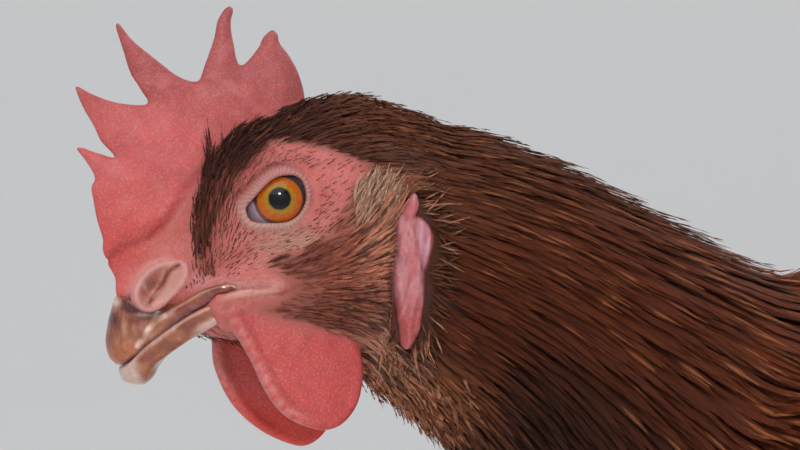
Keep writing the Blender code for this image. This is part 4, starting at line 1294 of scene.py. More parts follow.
def on_skin(places):
    """Nearest places on the skin, the way out of it there, and how far off they were."""
    near, out, gaps = np.empty_like(places), np.empty_like(places), np.empty(len(places))
    for k, place in enumerate(places.tolist()):
        near[k], out[k], _, gaps[k] = skin_tree.find_nearest(place)
    return near, -out, gaps


SECTIONS = skin_rows(np.linspace(0, 13, 260))


def section_of(places):
    """Row of the outline, height share (-1 to 1) and side of each place."""
    place, _, _ = find_section(SECTIONS, places[:, 0], places[:, 1])
    row = mixed_row(SECTIONS, place)
    centre, tall = (row[:, 0:2] + row[:, 2:4]) / 2, (row[:, 0:2] - row[:, 2:4]) / 2
    rise = ((places[:, 0:2] - centre) * tall).sum(1) / (tall**2).sum(1)
    return place * 13 / (len(SECTIONS) - 1), rise, places[:, 2] / row[:, 4]


def coat_depth(places):
    """How deep the feathers lie over the skin."""
    row, rise, _ = section_of(places)
    coat = along_rows(COAT, row)
    high, low = np.clip(rise, 0, 1)[:, None] ** 2, np.clip(-rise, 0, 1)[:, None] ** 2
    depth = coat[:, 0:1] * high + coat[:, 1:2] * low + coat[:, 2:3] * (1 - high - low)
    return np.maximum(depth[:, 0], 0.3)


HEAD_LIE = np.array([  # fore, up, and the way the feathers point there
    (15, -15, 0.05, 1), (13.5, -7, 0, 1), (12, 1, -0.35, 0.95),
    (8.5, 7, -0.7, 0.72), (3, 10, -0.92, 0.42), (-4, 11, -1, 0.22),
    (-12, 9.5, -1, 0.05), (-20, 8, -1, -0.12), (10, 11, -0.75, 0.66),
    (5, 16, -0.95, 0.3), (-8, 20, -1, -0.02), (-20, 17, -1, -0.25),
    (9.5, -3, -0.25, 0.97), (9, -9, -0.35, 0.93), (5, -10.5, -0.85, 0.5),
    (0, -9.5, -0.95, 0.3), (-5, -7.5, -0.87, 0.5), (-10, -4, -0.76, 0.65),
    (-15, -1, -0.62, 0.78), (-8, 3, -0.95, 0.25), (-13, 4, -0.85, 0.5),
    (7, -13.5, -0.95, 0.3), (0, -14, -0.97, 0.22), (-8, -12, -0.88, 0.46),
    (-14, -8.5, -0.78, 0.62), (-18.5, -3, -0.55, 0.83), (-4, -19, -1, 0.08),
    (-12, -18, -0.98, 0.15), (-18, -15, -0.9, 0.4), (-5, -23, -1, -0.05),
    (-14, -25, -0.97, -0.2), (10, -27, -0.85, -0.5), (-10, -32, -0.8, -0.6),
    (-20, -34, -0.6, -0.8), (-22, -28, -0.78, -0.6), (16, -27, -0.8, -0.6),
])


def lie(places):
    """The way the feathers point at each place, not yet laid along the skin."""
    row, below, side = section_of(places)
    rise = np.clip(below, -1, 1)
    here, beyond = (along_rows(OUTLINE, np.clip(row, 0, 12.8) + ahead) for ahead in (0, 0.15))
    ways = np.empty_like(places)
    for k in (0, 1):
        start, end = (
            rows[:, k] * (1 + rise) / 2 + rows[:, k + 2] * (1 - rise) / 2 for rows in (here, beyond)
        )
        ways[:, k] = end - start
    ways[:, 2] = np.clip(side, -1, 1) * (beyond[:, 4] - here[:, 4])
    drop = (ease(-below, 1, 1.2) * ease(-places[:, 0], 120, 150))[:, None]
    ways = unit(unit(ways) * (1 - drop) + np.array((-0.3, -1, 0)) * drop)
    tailward = ease(row, 11.6, 12.5)[:, None]
    target = np.stack([-0.85 + 0 * rise, 0.22 + 0.36 * rise, 0 * rise], -1)
    ways = unit(ways * (1 - tailward) + target * tailward)
    gaps = (places[:, None, 0] - HEAD_LIE[:, 0]) ** 2 + (places[:, None, 1] - HEAD_LIE[:, 1]) ** 2
    pull = 1 / (gaps + 4) ** 2
    head_way = np.zeros_like(places)
    head_way[:, :2] = (pull[..., None] * HEAD_LIE[:, 2:4]).sum(1) / pull.sum(1, keepdims=True)
    share = ease(places[:, 0], -30, -18)[:, None]
    return unit(ways * (1 - share) + unit(head_way) * share)


def scattered(count, spacing, wanted, seed):
    """Evenly scattered roots on the skin, never nearer than the spacing at each place."""
    chance = np.random.default_rng(seed)
    a, b, c = (hen_places[corner_list[:, k]] for k in range(3))
    area = np.linalg.norm(np.cross(b - a, c - a), axis=1) * wanted((a + b + c) / 3)
    pick = chance.choice(len(area), count, p=area / area.sum())
    one, other = chance.random((2, count, 1))
    flip = one + other > 1
    one, other = np.where(flip, 1 - one, one), np.where(flip, 1 - other, other)
    spots = a[pick] + (b[pick] - a[pick]) * one + (c[pick] - a[pick]) * other
    near = spacing(spots) if callable(spacing) else np.full(count, spacing)
    grid, kept = {}, []
    cells = np.floor(spots / near.max()).astype(int).tolist()
    around = [(x, y, z) for x in (-1, 0, 1) for y in (-1, 0, 1) for z in (-1, 0, 1)]
    for k, ((x, y, z), (f, u, s), gap) in enumerate(zip(cells, spots.tolist(), near.tolist())):
        limit = gap**2
        if not any(
            (f - f2) ** 2 + (u - u2) ** 2 + (s - s2) ** 2 < limit
            for dx, dy, dz in around
            for f2, u2, s2 in grid.get((x + dx, y + dy, z + dz), ())
        ):
            grid.setdefault((x, y, z), []).append((f, u, s))
            kept.append(k)
    return spots[kept]


def laid(roots, ways, lengths, heights, steps, follow=0.6, far=14):
    """Lays shaft lines over the skin: their places, and the way out of the coat along them."""
    near, out, _ = on_skin(roots)
    heading = unit(ways - out * (ways * out).sum(1, keepdims=True))
    line, outs = [near - out * 0.15], [out]
    place = near
    for k in range(1, steps + 1):
        step = (lengths / steps)[:, None]
        place = place + heading * step
        near, fresh, gap = on_skin(place)
        height = (heights * (k / steps) ** 0.75)[:, None]
        free = (gap > far)[:, None]
        out = np.where(free, out, unit(out * 0.5 + fresh * 0.5))
        place = np.where(free, place, near + out * height)
        turned = lie(place) * follow + heading * (1 - follow)
        turned = unit(turned - out * (turned * out).sum(1, keepdims=True))
        heading = np.where(free, heading, turned)
        line.append(place)
        outs.append(out)
    return np.stack(line, 1), np.stack(outs, 1)


def outline_round(t):
    """Half width along a body feather: narrow root, broad rounded end."""
    end = np.sqrt(np.clip(1 - ((t - 0.5) / 0.5) ** 2 * (t > 0.5), 0, 1))
    return np.minimum(1, (t / 0.35) ** 0.8) * end


def outline_lance(t):
    """Half width along a neck feather: broad near the root, drawn out to a point."""
    end = np.clip(1 - np.clip((t - 0.3) / 0.72, 0, 1) ** 1.7, 0, 1)
    return np.minimum(1, (t / 0.25) ** 0.7) * end


class Feathers:
    """Feathers that are gathered into one piece."""

    def __init__(self):
        self.places, self.faces, self.tone, self.detail, self.patch = ([] for _ in range(5))
        self.count = 0

    def add(self, line, out, half, shape, barbs, sweep, roots, tone, start=0.12, cup=0.25,
            ragged=0.25, split=0.8):
        """Adds feathers along shaft lines, with barb tufts on both sides."""
        number, steps = line.shape[0], line.shape[1] - 1
        widest = np.broadcast_to(half, number)[:, None]
        base = np.linspace(start, 1, barbs + 1)

        def at_share(values, t):
            t = np.clip(t, 0, 1) * steps
            i = np.minimum(t.astype(int), steps - 1)
            t = (t - i)[..., None]
            rows = np.arange(number)[:, None]
            return values[rows, i] * (1 - t) + values[rows, i + 1] * t

        shares = np.broadcast_to(base, (number, barbs + 1))
        shaft = at_share(line, shares)
        ahead = unit(at_share(line, shares + 0.02) - at_share(line, shares - 0.02))
        middle = (base[1:] + base[:-1]) / 2
        step = base[1] - base[0]
        reach = np.linalg.norm(line[:, -1] - line[:, 0], axis=1)[:, None]
        blocks, across, along = [shaft], [np.zeros_like(shares)], [shares]
        for side in (1, -1):
            jitter = rng.normal(0, 1, (number, barbs))
            wide = shape(middle) * widest * (1 + 0.1 * ragged * jitter)
            swept = sweep * (0.4 + 0.6 * shape(middle)) * (1 - middle * 0.6)
            for part in (-0.5, 0.5):
                t = middle + swept + part * step * split + 0.12 * ragged * step * jitter
                t = np.broadcast_to(t, (number, barbs))
                spot_line, spot_out = at_share(line, t), at_share(out, t)
                over = np.maximum(t - 1, 0) * reach
                before_end = np.minimum(t, 1)
                way = at_share(ahead, t) if steps == barbs else unit(
                    at_share(line, before_end) - at_share(line, before_end - 0.05))
                beside = unit(np.cross(spot_out, way))
                lift = -cup * wide * shape(middle) + 0.12 * ragged * rng.normal(0, 1, t.shape)
                blocks.append(spot_line + way * over[..., None] + beside * (side * wide)[..., None]
                              + spot_out * lift[..., None])
                across.append(np.full(t.shape, float(side)))
                along.append(np.clip(t, 0, 1))
        places = np.concatenate(blocks, 1)
        across, along = np.concatenate(across, 1), np.concatenate(along, 1)
        size = places.shape[1]
        quads = []
        for k in range(2):
            first = barbs + 1 + 2 * k * barbs
            for j in range(barbs):
                quad = [j, j + 1, first + barbs + j, first + j]
                quads.append(quad if k else quad[::-1])
        faces = np.array(quads)[None] + (np.arange(number) * size)[:, None, None] + self.count
        self.count += number * size
        self.places.append(places.reshape(-1, 3))
        self.faces.append(faces.reshape(-1, 4))
        own = np.repeat(rng.random(number), size).reshape(number, size)
        self.tone.append(tone(roots, across, along, own).reshape(-1, 3))
        self.detail.append(np.stack([across, along, own], -1).reshape(-1, 3))
        row, rise, side = section_of(roots)
        turn = np.arctan2(side, rise) / (2 * pi) + 0.5
        corner = np.stack([0.01 + 0.97 * turn, 0.01 + 0.97 * row / 13], -1)[:, None]
        local = np.stack([across * 0.5 + 0.5, along], -1) * 0.003
        self.patch.append((corner + local).reshape(-1, 2))

    def grow(self, roots, ways, lengths, heights, half, barbs, sweep, tone, steps=4, far=6,
             follow=0.6, shape=outline_lance, **cut):
        """Lays shaft lines over the skin from their roots and adds feathers along them."""
        line, out = laid(roots, ways, lengths, heights, steps, follow, far)
        self.add(line, out, half, shape, barbs, sweep, roots, tone, **cut)

    def make(self, name, material, nodes=()):
        """Builds the piece and hangs it on the hen."""
        parts = (self.places, self.faces, self.tone, self.detail, self.patch)
        places, faces, tone, detail, patch = (np.concatenate(part) for part in parts)
        made = make_mesh(name, to_world(places), faces)
        finish_piece(made, tone, material)
        for label, values in zip(("Across", "Along", "Self"), detail.T):
            paint(made, label, values)
        layer = made.data.uv_layers.new(name="OFBake")
        layer.data.foreach_set("uv", patch[faces.ravel()].astype(np.float32).ravel())
        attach(made, "root")
        if nodes:
            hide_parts(*nodes)


def feather_paint(name, gloss=0.5, streak=1):
    """Barbs as fine streaks that run out and back from the shaft, with a soft gloss."""
    made = Paint(name, Roughness=gloss, Specular_IOR_Level=0.12)
    across, along, own = (made.stored(k) for k in ("Across", "Along", "Self"))
    width = made.node("Math", {0: across}, operation="ABSOLUTE").outputs[0]
    barb = made.maths(made.maths(along, 60), made.maths(width, 22), "SUBTRACT")

    def spread(one, other, own_share):
        """Where to read the noise: two shares, and a slice of it for each feather."""
        sockets = {"X": one, "Y": other, "Z": made.maths(own, own_share)}
        return made.node("CombineXYZ", sockets).outputs[0]

    barbs = spread(made.maths(barb, 0.8), made.maths(across, 0.7), 97)
    barbs = made.noise(1.6, 3, barbs, rough=0.6)
    strands = spread(made.maths(across, 7), made.maths(along, 1.6), 53)
    strands = made.noise(1.5, 2, strands, rough=0.6)
    colour = made.stored("Tone", "Color")
    colour = made.over(colour, barbs, (0.38, 0.62, 0.45 * streak), (1.35, 1.25, 1.2))
    colour = made.over(colour, strands, (0.52, 0.36, 0.75 * streak), (0.42, 0.36, 0.36))
    colour = made.over(colour, strands, (0.55, 0.72, 0.7 * streak), (1.5, 1.3, 1.2))
    made.use("Base Color", colour)
    made.use("Roughness", made.range(barbs, 0.3, 0.7, gloss - 0.1, gloss + 0.12))
    made.use("Normal", made.bump(made.maths(barbs, strands, "ADD"), 0.45, 0.0003))
    return made.material


def coat_tone(roots, across, along, own):
    """The plumage colour of each feather with its own tone, darker towards its root as a painted
    shade where the feathers overlap.
    """
    base = plumage(*roots.T)[:, None] * np.ones(across.shape + (1,))
    shade = 0.72 + 0.6 * own[..., None]
    red = np.array([1.06, 0.98, 0.92]) ** (np.modf(own * 7.3)[0][..., None] * 2 - 1)
    base = base * shade * red
    # painted shade: each feather darkens towards its root, where the feathers above cover it
    return base * (0.55 + 0.45 * ease(along, 0.05, 0.5))[..., None]


# ---------------- the neck's hackles
# Narrow glossy pointed feathers that hang from the back of the head down to the shoulders. Many
# end in a thin tan streak along the shaft.


def lobe_gaps(places):
    """Distances outside (+) the front and the back fold of the lobes."""
    fore, up, _ = places.T
    return to_edge(LOBE_FRONT, fore, up), to_edge(LOBE_BACK, fore, up)


def clear_of_lobes(roots, ways, lengths):
    """Shortens feathers that would lie over a lobe; those rooted against one come out short."""
    best = lengths * 0
    for share in (0.2, 0.35, 0.5, 0.7, 0.85, 1):
        front, back = lobe_gaps(roots + unit(ways) * (lengths * share)[:, None])
        free = (front > -0.4) & (back > -0.5)
        best = np.where(free & (best >= lengths * (share - 0.25)), lengths * share, best)
    return best


def hackle_tone(roots, across, along, own):
    tone = coat_tone(roots, across, along, own)
    row, rise, _ = section_of(roots)
    often = (0.05 + 0.22 * ease(rise, -0.1, 0.8) + 0.12 * ease(row, 5, 6.3))[:, None]
    chosen = (np.modf(own * 13.7)[0] < often) * ease(along, 0.62, 0.8)
    streak = chosen * ease(0.75 - np.abs(across), 0, 0.5)
    edge = ease(along, 0.5, 0.95) * 0.3
    tone = layered(tone, ((0.4, 0.17, 0.075), streak * 0.75), ((0.13, 0.036, 0.014), edge))
    fore, up, _ = roots.T
    dim = 1 - 0.62 * spot(fore, up, -42, -34, 15, 13) + 0.3 * ease(-fore, 60, 85)
    return tone * dim[:, None, None] * (1, 0.86, 0.72)


def neck_wanted(places):
    fore, up, _ = places.T
    front, back = lobe_gaps(places)
    on_lobe = (front < 0.1) & (up < 1) | (back < 0)
    ear = fore < -20.5 + 9 * ease(up, 4, 14)
    return ear & (section_of(places)[0] < 7.3) & ~on_lobe & (fore < -9)


hackle_paint = feather_paint("glossy hackles", 0.48)
roots = scattered(150000, lambda p: np.interp(-p[:, 0], [10, 30, 60, 110], [0.8, 1, 1.4, 2.1]),
                  neck_wanted, 1)
order = np.argsort(roots[:, 0] + rng.normal(0, 4, len(roots)))
roots = roots[order]
length = np.interp(-roots[:, 0], [8, 25, 45, 75, 110], [8, 13, 20, 28, 34])
length = length * rng.uniform(0.8, 1.2, len(roots))
half = np.interp(-roots[:, 0], [8, 25, 45, 75, 110], [0.3, 0.45, 0.65, 1, 1.9])
half = half * rng.uniform(0.65, 1.3, len(roots))
depth = coat_depth(roots) * rng.uniform(0.62, 1.04, len(roots))
ways = lie(roots) + rng.normal(0, 0.1, roots.shape)
length = np.where(roots[:, 0] > -32, clear_of_lobes(roots, ways, length), length)
keep = length > 3
roots, ways, length, half, depth = (k[keep] for k in (roots, ways, length, half, depth))
line, out = laid(roots, ways, length, depth, steps=6)
edges = np.linspace(0, len(roots), 5).astype(int)
for part, start, end in zip(("base", "low", "middle", "nape"), edges, edges[1:]):
    coat = Feathers()
    keep = slice(start, end)
    coat.add(line[keep], out[keep], half[keep], outline_lance, 10, 0.26, roots[keep], hackle_tone,
             ragged=0.8, split=0.85)
    coat.make(f"hackles_{part}", hackle_paint)


# ---------------- the small feathers of the head
# Short hair-like feathers over the crown, the lores and the cheeks, with a pale tuft over the ear
# hole, a tan fringe round each lobe, and stiff dark bristles on the bare face.


def off_flesh(places):
    """True where the head grows feathers: not on comb, wattles, lobes, lids or bare face."""
    fore, up, left = places.T
    free = to_edge(BARE_EDGE, fore, up) > 0.1
    free &= ahead_of_lores(fore, up) < 0
    free &= comb_field(fore, up, left) > 0.3
    for wattle in WATTLES:
        free &= wattle_field(wattle, fore, up, left) > 0.5
    return free & (lobe_field(fore, up, left, np.sign(left)) > 0.4)


def head_tone(roots, across, along, own):
    tone = coat_tone(roots, across, along, own)
    fore, up, _ = roots.T
    band = (ease(fore, -14, 2) * ease(up, -18, -12))[:, None] * np.ones_like(across)
    pick = np.modf(own * 17.3)[0]
    rear = (ease(-fore, 4, 12) * ease(-up, 2, 6))[:, None] * np.ones_like(across)
    return layered(
        tone,
        ((0.032, 0.011, 0.01), band * 0.88),
        ((0.16, 0.055, 0.026), band * (pick > 0.75) * 0.6),
        ((0.04, 0.02, 0.018), rear * (pick < 0.22) * 0.8),
        ((0.46, 0.22, 0.12), rear * (pick > 0.84) * ease(along, 0.3, 0.8) * 0.6),
    )


def head_wanted(places):
    fore, up, left = places.T
    ear = fore > -23.5 + 9 * ease(up, 4, 14)
    inside = off_flesh(places) & ear & (fore < 18) & (up > -38)
    cheek = ease(-up, -6, 2) * ease(9 - to_edge(BARE_EDGE, fore, up), 0, 7)
    lores = ease(fore, 5, 8) * (0.45 + 0.42 * ease(-up, -4, 4))
    return inside * (1 - 0.9 * cheek * (fore < 4)) * (1 - lores)


head_paint = feather_paint("short head feathers", 0.42)
roots = scattered(26000, lambda p: np.interp(p[:, 1], [-12, 4], [0.52, 0.62]), head_wanted, 2)
length = np.interp(-roots[:, 0], [-14, -4, 8, 20], [4.4, 5.5, 6.5, 8])
length = length * rng.uniform(0.65, 1.3, len(roots))
half = np.interp(-roots[:, 0], [-14, 0, 20], [0.17, 0.24, 0.34]) * rng.uniform(0.6, 1.4, len(roots))
depth = np.maximum(coat_depth(roots), 0.5) * rng.uniform(0.4, 1.3, len(roots)) + 0.2
lores = ease(roots[:, 0], 4, 9)
depth = depth + lores * rng.uniform(0, 1.8, len(roots))
ways = lie(roots) + rng.normal(0, 0.15, roots.shape)
ways[:, 0] += 0.25 * lores
near = ease(5 - to_edge(BARE_EDGE, roots[:, 0], roots[:, 1]), 0, 4)
near = near * ease(4 - roots[:, 0], 0, 2) * ease(-roots[:, 1], 0, 4)
length, half = length * (1 - 0.4 * near), half * (1 - 0.5 * near)
length = clear_of_lobes(roots, ways, length * (1 + 0.35 * lores))
keep = length > 1.6
roots, ways, length, half, depth = (k[keep] for k in (roots, ways, length, half, depth))
coat = Feathers()
coat.grow(roots, ways, length, depth, half, 5, 0.25, head_tone, far=5, ragged=1, cup=0.35)

# tall dark bristles that stand along the front of the lores
LORES_BRISTLES = 150
front, rise = np.array(LORES_FRONT[1:]).T
for side in (1, -1):
    up = rng.uniform(-15.5, 9, LORES_BRISTLES)
    back = rng.uniform(0.1, 1.6 + 2.4 * ease(-up, -4, 6))
    fore = np.interp(up, rise, front) - back
    roots = np.stack([fore, up, side * 6 + 0 * up], -1)
    bend = rng.normal(0, 0.16, LORES_BRISTLES)
    ways = np.stack([0.1 + bend, 1 + 0 * up, 0.25 * side + 0 * up], -1)
    length = rng.uniform(2.5, 6.5, LORES_BRISTLES) * (0.6 + 0.4 * ease(up, -8, 0))
    depth, half = (rng.uniform(*reach, LORES_BRISTLES) for reach in ((0.8, 2.2), (0.09, 0.2)))
    coat.grow(roots, ways, length, depth, half, 3, 0.2, head_tone, steps=5, follow=0, ragged=1)


def tuft_tone(roots, across, along, own):
    tone = coat_tone(roots, across, along, own)
    pale = np.array((0.54, 0.34, 0.245)) * (0.72 + 0.5 * own[..., None])
    return mixed(tone, pale, 0.2 + 0.8 * ease(along, 0.15, 0.7))


def ear_wanted(places):
    fore, up, left = places.T
    inside = (fore < -13.5) & (fore > -21.5) & (up < 0.8) & (up > -7)
    return inside & (np.abs(left) > 8) & off_flesh(places)


roots = scattered(30000, 0.42, ear_wanted, 3)
length = rng.uniform(3.2, 5.4, len(roots))
depth = 1.2 + 2.2 * ease(roots[:, 1], -6, 1) * rng.uniform(0.2, 1, len(roots))
ways = np.stack([-0.3 + 0 * length, 0.95 + 0 * length, 0 * length], -1)
ways = ways + rng.normal(0, 0.16, roots.shape)
coat.grow(roots, ways, length, depth, 0.16, 4, 0.2, tuft_tone, follow=0.1,
          ragged=1.2)


def fringe_tone(roots, across, along, own):
    tone = tuft_tone(roots, across, along, own) * np.array((0.8, 0.6, 0.48))
    dark = 0.35 + 0.6 * (spot(0 * roots[:, 1], roots[:, 1], 0, -17, 9, 6) > 0.4)[:, None]
    return mixed(tone, (0.07, 0.022, 0.01), (np.modf(own * 9.1)[0] < dark) * 0.85)


def fringe_wanted(places):
    fore, up, left = places.T
    gap = np.minimum(*lobe_gaps(places))
    behind = (fore < -24) & (up < 3)
    lower = (up < -25) & (fore < -19)
    front = (fore > -24) & (up > -27) & (up < -3) & (gap < 1.2)
    near = (gap < 2.2) & (gap > 0) & (behind | lower | front) & (np.abs(left) > 8)
    return near & (lobe_field(fore, up, left, np.sign(left)) > 0.4)


roots = scattered(14000, 0.72, fringe_wanted, 7)
front = ease(roots[:, 0], -24.6, -23.4) * ease(roots[:, 1], -27.5, -26)
length = rng.uniform(2, 5.5, len(roots)) * (1 - 0.58 * front)
down = ease(-roots[:, 1], 20, 26) * 0.9 + 0.35 * ease(-roots[:, 1], 2, 10)
ways = np.stack([-0.9 + down * 0.7, 0.25 - down * 1.15, 0.2 * np.sign(roots[:, 2])], -1)
ways = ways + rng.normal(0, 0.22, roots.shape)
depth = rng.uniform(1.2, 3.2, len(roots)) + 1.6 * ease(-roots[:, 1], 20, 26)
coat.grow(roots, ways, length, depth, 0.17, 4, 0.25, fringe_tone, follow=0,
          ragged=1.2)
coat.make("head_feathers", head_paint)


def throat_tone(roots, across, along, own):
    tone = coat_tone(roots, across, along, own)
    return layered(
        tone,
        ((0.48, 0.215, 0.125), 0.3 + 0.6 * np.modf(own * 3.3)[0]),
        ((0.11, 0.038, 0.02), (np.modf(own * 9.1)[0] < 0.22) * 0.6),
    )


def throat_wanted(places):
    fore, up, left = places.T
    inside = (fore < -13) & (fore > -38) & (up < -27) & off_flesh(places)
    return inside * ease(-up, 27, 33) * ease(38 + fore, 0, 8)


roots = scattered(6000, 0.95, throat_wanted, 8)
length = rng.uniform(4.5, 9.5, len(roots))
tuft = ripple(roots[:, 0], roots[:, 1], roots[:, 2], 5.5, 2)
aside = 0.35 * np.sign(roots[:, 2]) * (0.5 - tuft)
ways = np.stack([-0.55 + 0.3 * tuft, -0.8 + 0 * length, aside], -1)
ways = ways + rng.normal(0, 0.22, roots.shape)
depth = rng.uniform(2.5, 5.5, len(roots)) * ease(-roots[:, 1], 26, 34)
throat = Feathers()
throat.grow(roots, ways, length, depth, rng.uniform(0.25, 0.5, len(roots)), 6, 0.25, throat_tone,
            follow=0.1, ragged=1.5)
throat.make("throat_feathers", head_paint)


def bristle_tone(roots, across, along, own):
    dark = np.array((0.055, 0.018, 0.014)) * (0.5 + 2.2 * own[..., None])
    low = (ease(-roots[:, 1], 5.5, 8) * ease(7 - roots[:, 0], 0, 3))[:, None]
    pale = np.modf(own * 5.7)[0] < 0.62 * low
    return mixed(dark, (0.62, 0.43, 0.29), pale * 0.9) + 0 * along[..., None]


def bristle_wanted(places):
    fore, up, left = places.T
    lid = to_edge(LID_EDGE, fore, up)
    inside = (to_edge(BARE_EDGE, fore, up) < 0.3) & (lid > 2.3) & (np.abs(left) > 3)
    nose = to_edge(NOSE_EDGE, fore, up) > 0.2
    mouth = to_line(MOUTH, fore, up) > 2.8
    comb = comb_field(fore, up, left) > 0.5
    for wattle in WATTLES:
        inside &= wattle_field(wattle, fore, up, left) > 0.4
    thick = 0.05
    for share, *place in (
        (1.4, 8.6, -3, 2.4, 8), (0.35, 1, 6.6, 7, 1.6), (1.6, -2, -9, 7, 2),
        (1.6, 14.2, -16, 1.2, 2.4), (0.25, -7.5, -5, 2, 5), (2, 17.1, -14.8, 0.9, 2.2),
    ):
        thick = thick + share * spot(fore, up, *place)
    return (inside & nose & mouth & comb & (fore < 18.5) & (up > -17.5)) * thick


roots = scattered(3200, 0.46, bristle_wanted, 4)
length = rng.uniform(0.6, 1.7, len(roots)) + 1.2 * spot(roots[:, 0], roots[:, 1], 9.5, -3, 3, 8)
length = length * (1 - 0.35 * spot(roots[:, 0], roots[:, 1], 14.2, -16, 1.5, 2.5))
stout = 1 + 1.3 * spot(roots[:, 0], roots[:, 1], 16.5, -15, 1.8, 3)
depth = rng.uniform(0.1, 0.7, len(roots))
ways = lie(roots) + rng.normal(0, 0.2, roots.shape)
STIFF = {"start": 0, "cup": 0, "ragged": 0, "split": 1}
bristles = Feathers()
bristles.grow(roots, ways, length, depth, rng.uniform(0.04, 0.12, len(roots)) * stout, 2, 0,
              bristle_tone, steps=3, far=3, **STIFF)


def chin_wanted(places):
    fore, up, left = places.T
    return (fore > 6) & (fore < 17) & (up < -22) & (np.abs(left) < 6)


roots = scattered(420, 1.1, chin_wanted, 5)
length = rng.uniform(2, 4.5, len(roots))
ways = np.tile((-0.85, -0.52, 0), (len(roots), 1)) + rng.normal(0, 0.15, roots.shape)
line = roots[:, None] + ways[:, None] * (length[:, None] * np.linspace(0, 1, 4))[..., None]
out = np.tile((0, -0.2, 1), (len(roots), 4, 1))
bristles.add(line, out, 0.08, outline_lance, 2, 0, roots, bristle_tone, **STIFF)
bristles.make("face_bristles", feather_paint("face bristles", 0.35))


# ---------------- the body feathers
# Broad round-ended feathers over the back, breast and flanks. They turn to long loose fluff on
# the belly, the thighs and round the vent.


WING_START, WING_ROWS = 6.8, 5.3  # the rows of the outline that the folded wing covers
WING_HIGH, WING_TURN = 70, 24  # degrees from the top of the back to its middle line, and their fall


def wing_width(share):
    """How much of its full width the folded wing has along its length."""
    return np.sin(pi * np.clip(share, 0.02, 0.996) ** 0.52) ** 0.6


def trunk_wanted(places):
    row, rise, side = section_of(places)
    angle = np.degrees(np.arctan2(np.abs(side), rise))
    share = (row - WING_START) / WING_ROWS
    middle = WING_HIGH - WING_TURN * np.clip(share, 0, 1)
    under_wing = (np.abs(angle - middle) < 36 * wing_width(share) - 15) & (row > 7.8)
    return (row > 6.5) & (places[:, 1] > FLOOR + HOCK_UP + 0.5) & ~under_wing


def body_tone(roots, across, along, own):
    tone = coat_tone(roots, across, along, own)
    edge = ease(along, 0.7, 1) * ease(np.abs(across), 0.3, 1) * 0.6
    return mixed(tone, tone * 1.6 + (0.02, 0.005, 0.002), edge)


body_paint = feather_paint("body feathers", 0.5, 0.8)
roots = scattered(40000, lambda p: np.interp(p[:, 1], [-130, -40], [4.3, 4.8]), trunk_wanted, 6)
row, rise, side = section_of(roots)
fluffy = ease(-rise, 0.1, 0.8) * ease(row, 8.5, 10.5)
thigh = ease(FLOOR + 165 - roots[:, 1], 0, 60)
length = (33 + 4 * fluffy - 14 * thigh) * rng.uniform(0.8, 1.15, len(roots))
length = length * np.interp(row, [6.5, 7.5, 12, 13], [0.95, 1, 1, 0.8])
half = (7.4 - 3.2 * fluffy - 3.2 * thigh) * np.interp(row, [6.5, 7.6], [0.5, 1])
half = half * rng.uniform(0.8, 1.15, len(roots))
depth = coat_depth(roots) * rng.uniform(0.7, 1, len(roots))
depth = depth * np.interp(roots[:, 1] - FLOOR, [97, 110, 165], [0.22, 0.35, 1])
ways = lie(roots) + rng.normal(0, 0.08, roots.shape)
line, out = laid(roots, ways, length, depth, steps=6, far=24)
low = roots[:, 1] < -62
for part, keep in (("upper", ~low), ("lower", low)):
    coat = Feathers()
    coat.add(line[keep], out[keep], half[keep], outline_round, 17, 0.2, roots[keep], body_tone,
             ragged=1.2, split=0.88, cup=0.3)
    coat.make(f"body_feathers_{part}", body_paint)


# ---------------- the folded wings
# Small round coverts in rows over the front of the wing, then greater coverts, then the long
# stiff flight feathers, folded like a fan with the innermost on top.


def round_section(rows, angle):
    """Places round sections of the outline, at an angle from the top."""
    rise, across = np.cos(angle), np.sin(angle)
    middle = [(rows[..., k] * (1 + rise) + rows[..., k + 2] * (1 - rise)) / 2 for k in (0, 1)]
    return np.stack([*middle, across * rows[..., 4] * (1 - rows[..., 5] * rise)], -1)


def on_wing(share, spread, lift, side):
    """Places over the folded wing: share of its length, spread across it, and height over it."""
    places = []
    for turned, shift in ((0, 0), (2, 0), (0, -0.05)):
        place = WING_START + WING_ROWS * share + shift
        full = wing_width(share)
        angle = np.radians(WING_HIGH - WING_TURN * share + 36 * full * spread + turned)
        rows = along_rows(OUTLINE, place.ravel()).reshape(place.shape + (6,))
        places.append(round_section(rows, angle))
    here, below, ahead = places
    out = unit(np.cross(below - here, ahead - here))
    out = np.where(out[..., 2:] < 0, -out, out)
    bow = 1 + 5 * full * np.clip(np.cos(spread * pi / 2), 0.02, 1) ** 0.7
    bow = bow * (1 - 0.6 * ease(share, 0.5, 0.9))
    bow = bow - 2.5 * ease(share, 0.55, 0.9) * ease(-spread, 0.1, 0.6)
    here = here + out * (bow + lift)[..., None]
    flip = np.array((1, 1, side))
    return here * flip, out * flip


def wing_lines(start, spread, reach, lift, side, steps=8, close=0.35, sunk=3):
    """Shaft lines back along the wing from their roots."""
    run = np.linspace(0, 1, steps + 1)[None]
    share = start[:, None] + reach[:, None] * run
    across = spread[:, None] * (1 - close * np.maximum(share - start[:, None], 0))
    height = lift[:, None] - sunk * (1 - run) ** 1.5
    return on_wing(share, across, height, side)


def shafts(line, out, width, colour, coat):
    """Raised shafts along the middle of long feathers."""

    def tone(roots, across, along, own):
        return np.ones(across.shape + (3,)) * colour

    coat.add(line + out * 0.3, out, width, lambda t: 1 - 0.7 * t, 8, 0,
             line[:, 0], tone, start=0, cup=0.4, ragged=0, split=1)


def flight_tone(roots, across, along, own):
    tone = coat_tone(roots, across, along, own * 0.5 + 0.25)
    inner = (across > 0.2) * 0.45 * ease(along, 0.1, 0.5)
    tone = mixed(tone, (0.038, 0.015, 0.009), inner) + (0.01, 0.002, 0)
    edge = ease(np.abs(across), 0.7, 0.95) * ease(along, 0.1, 0.4)
    return mixed(tone, (0.17, 0.066, 0.034), edge * 0.75)


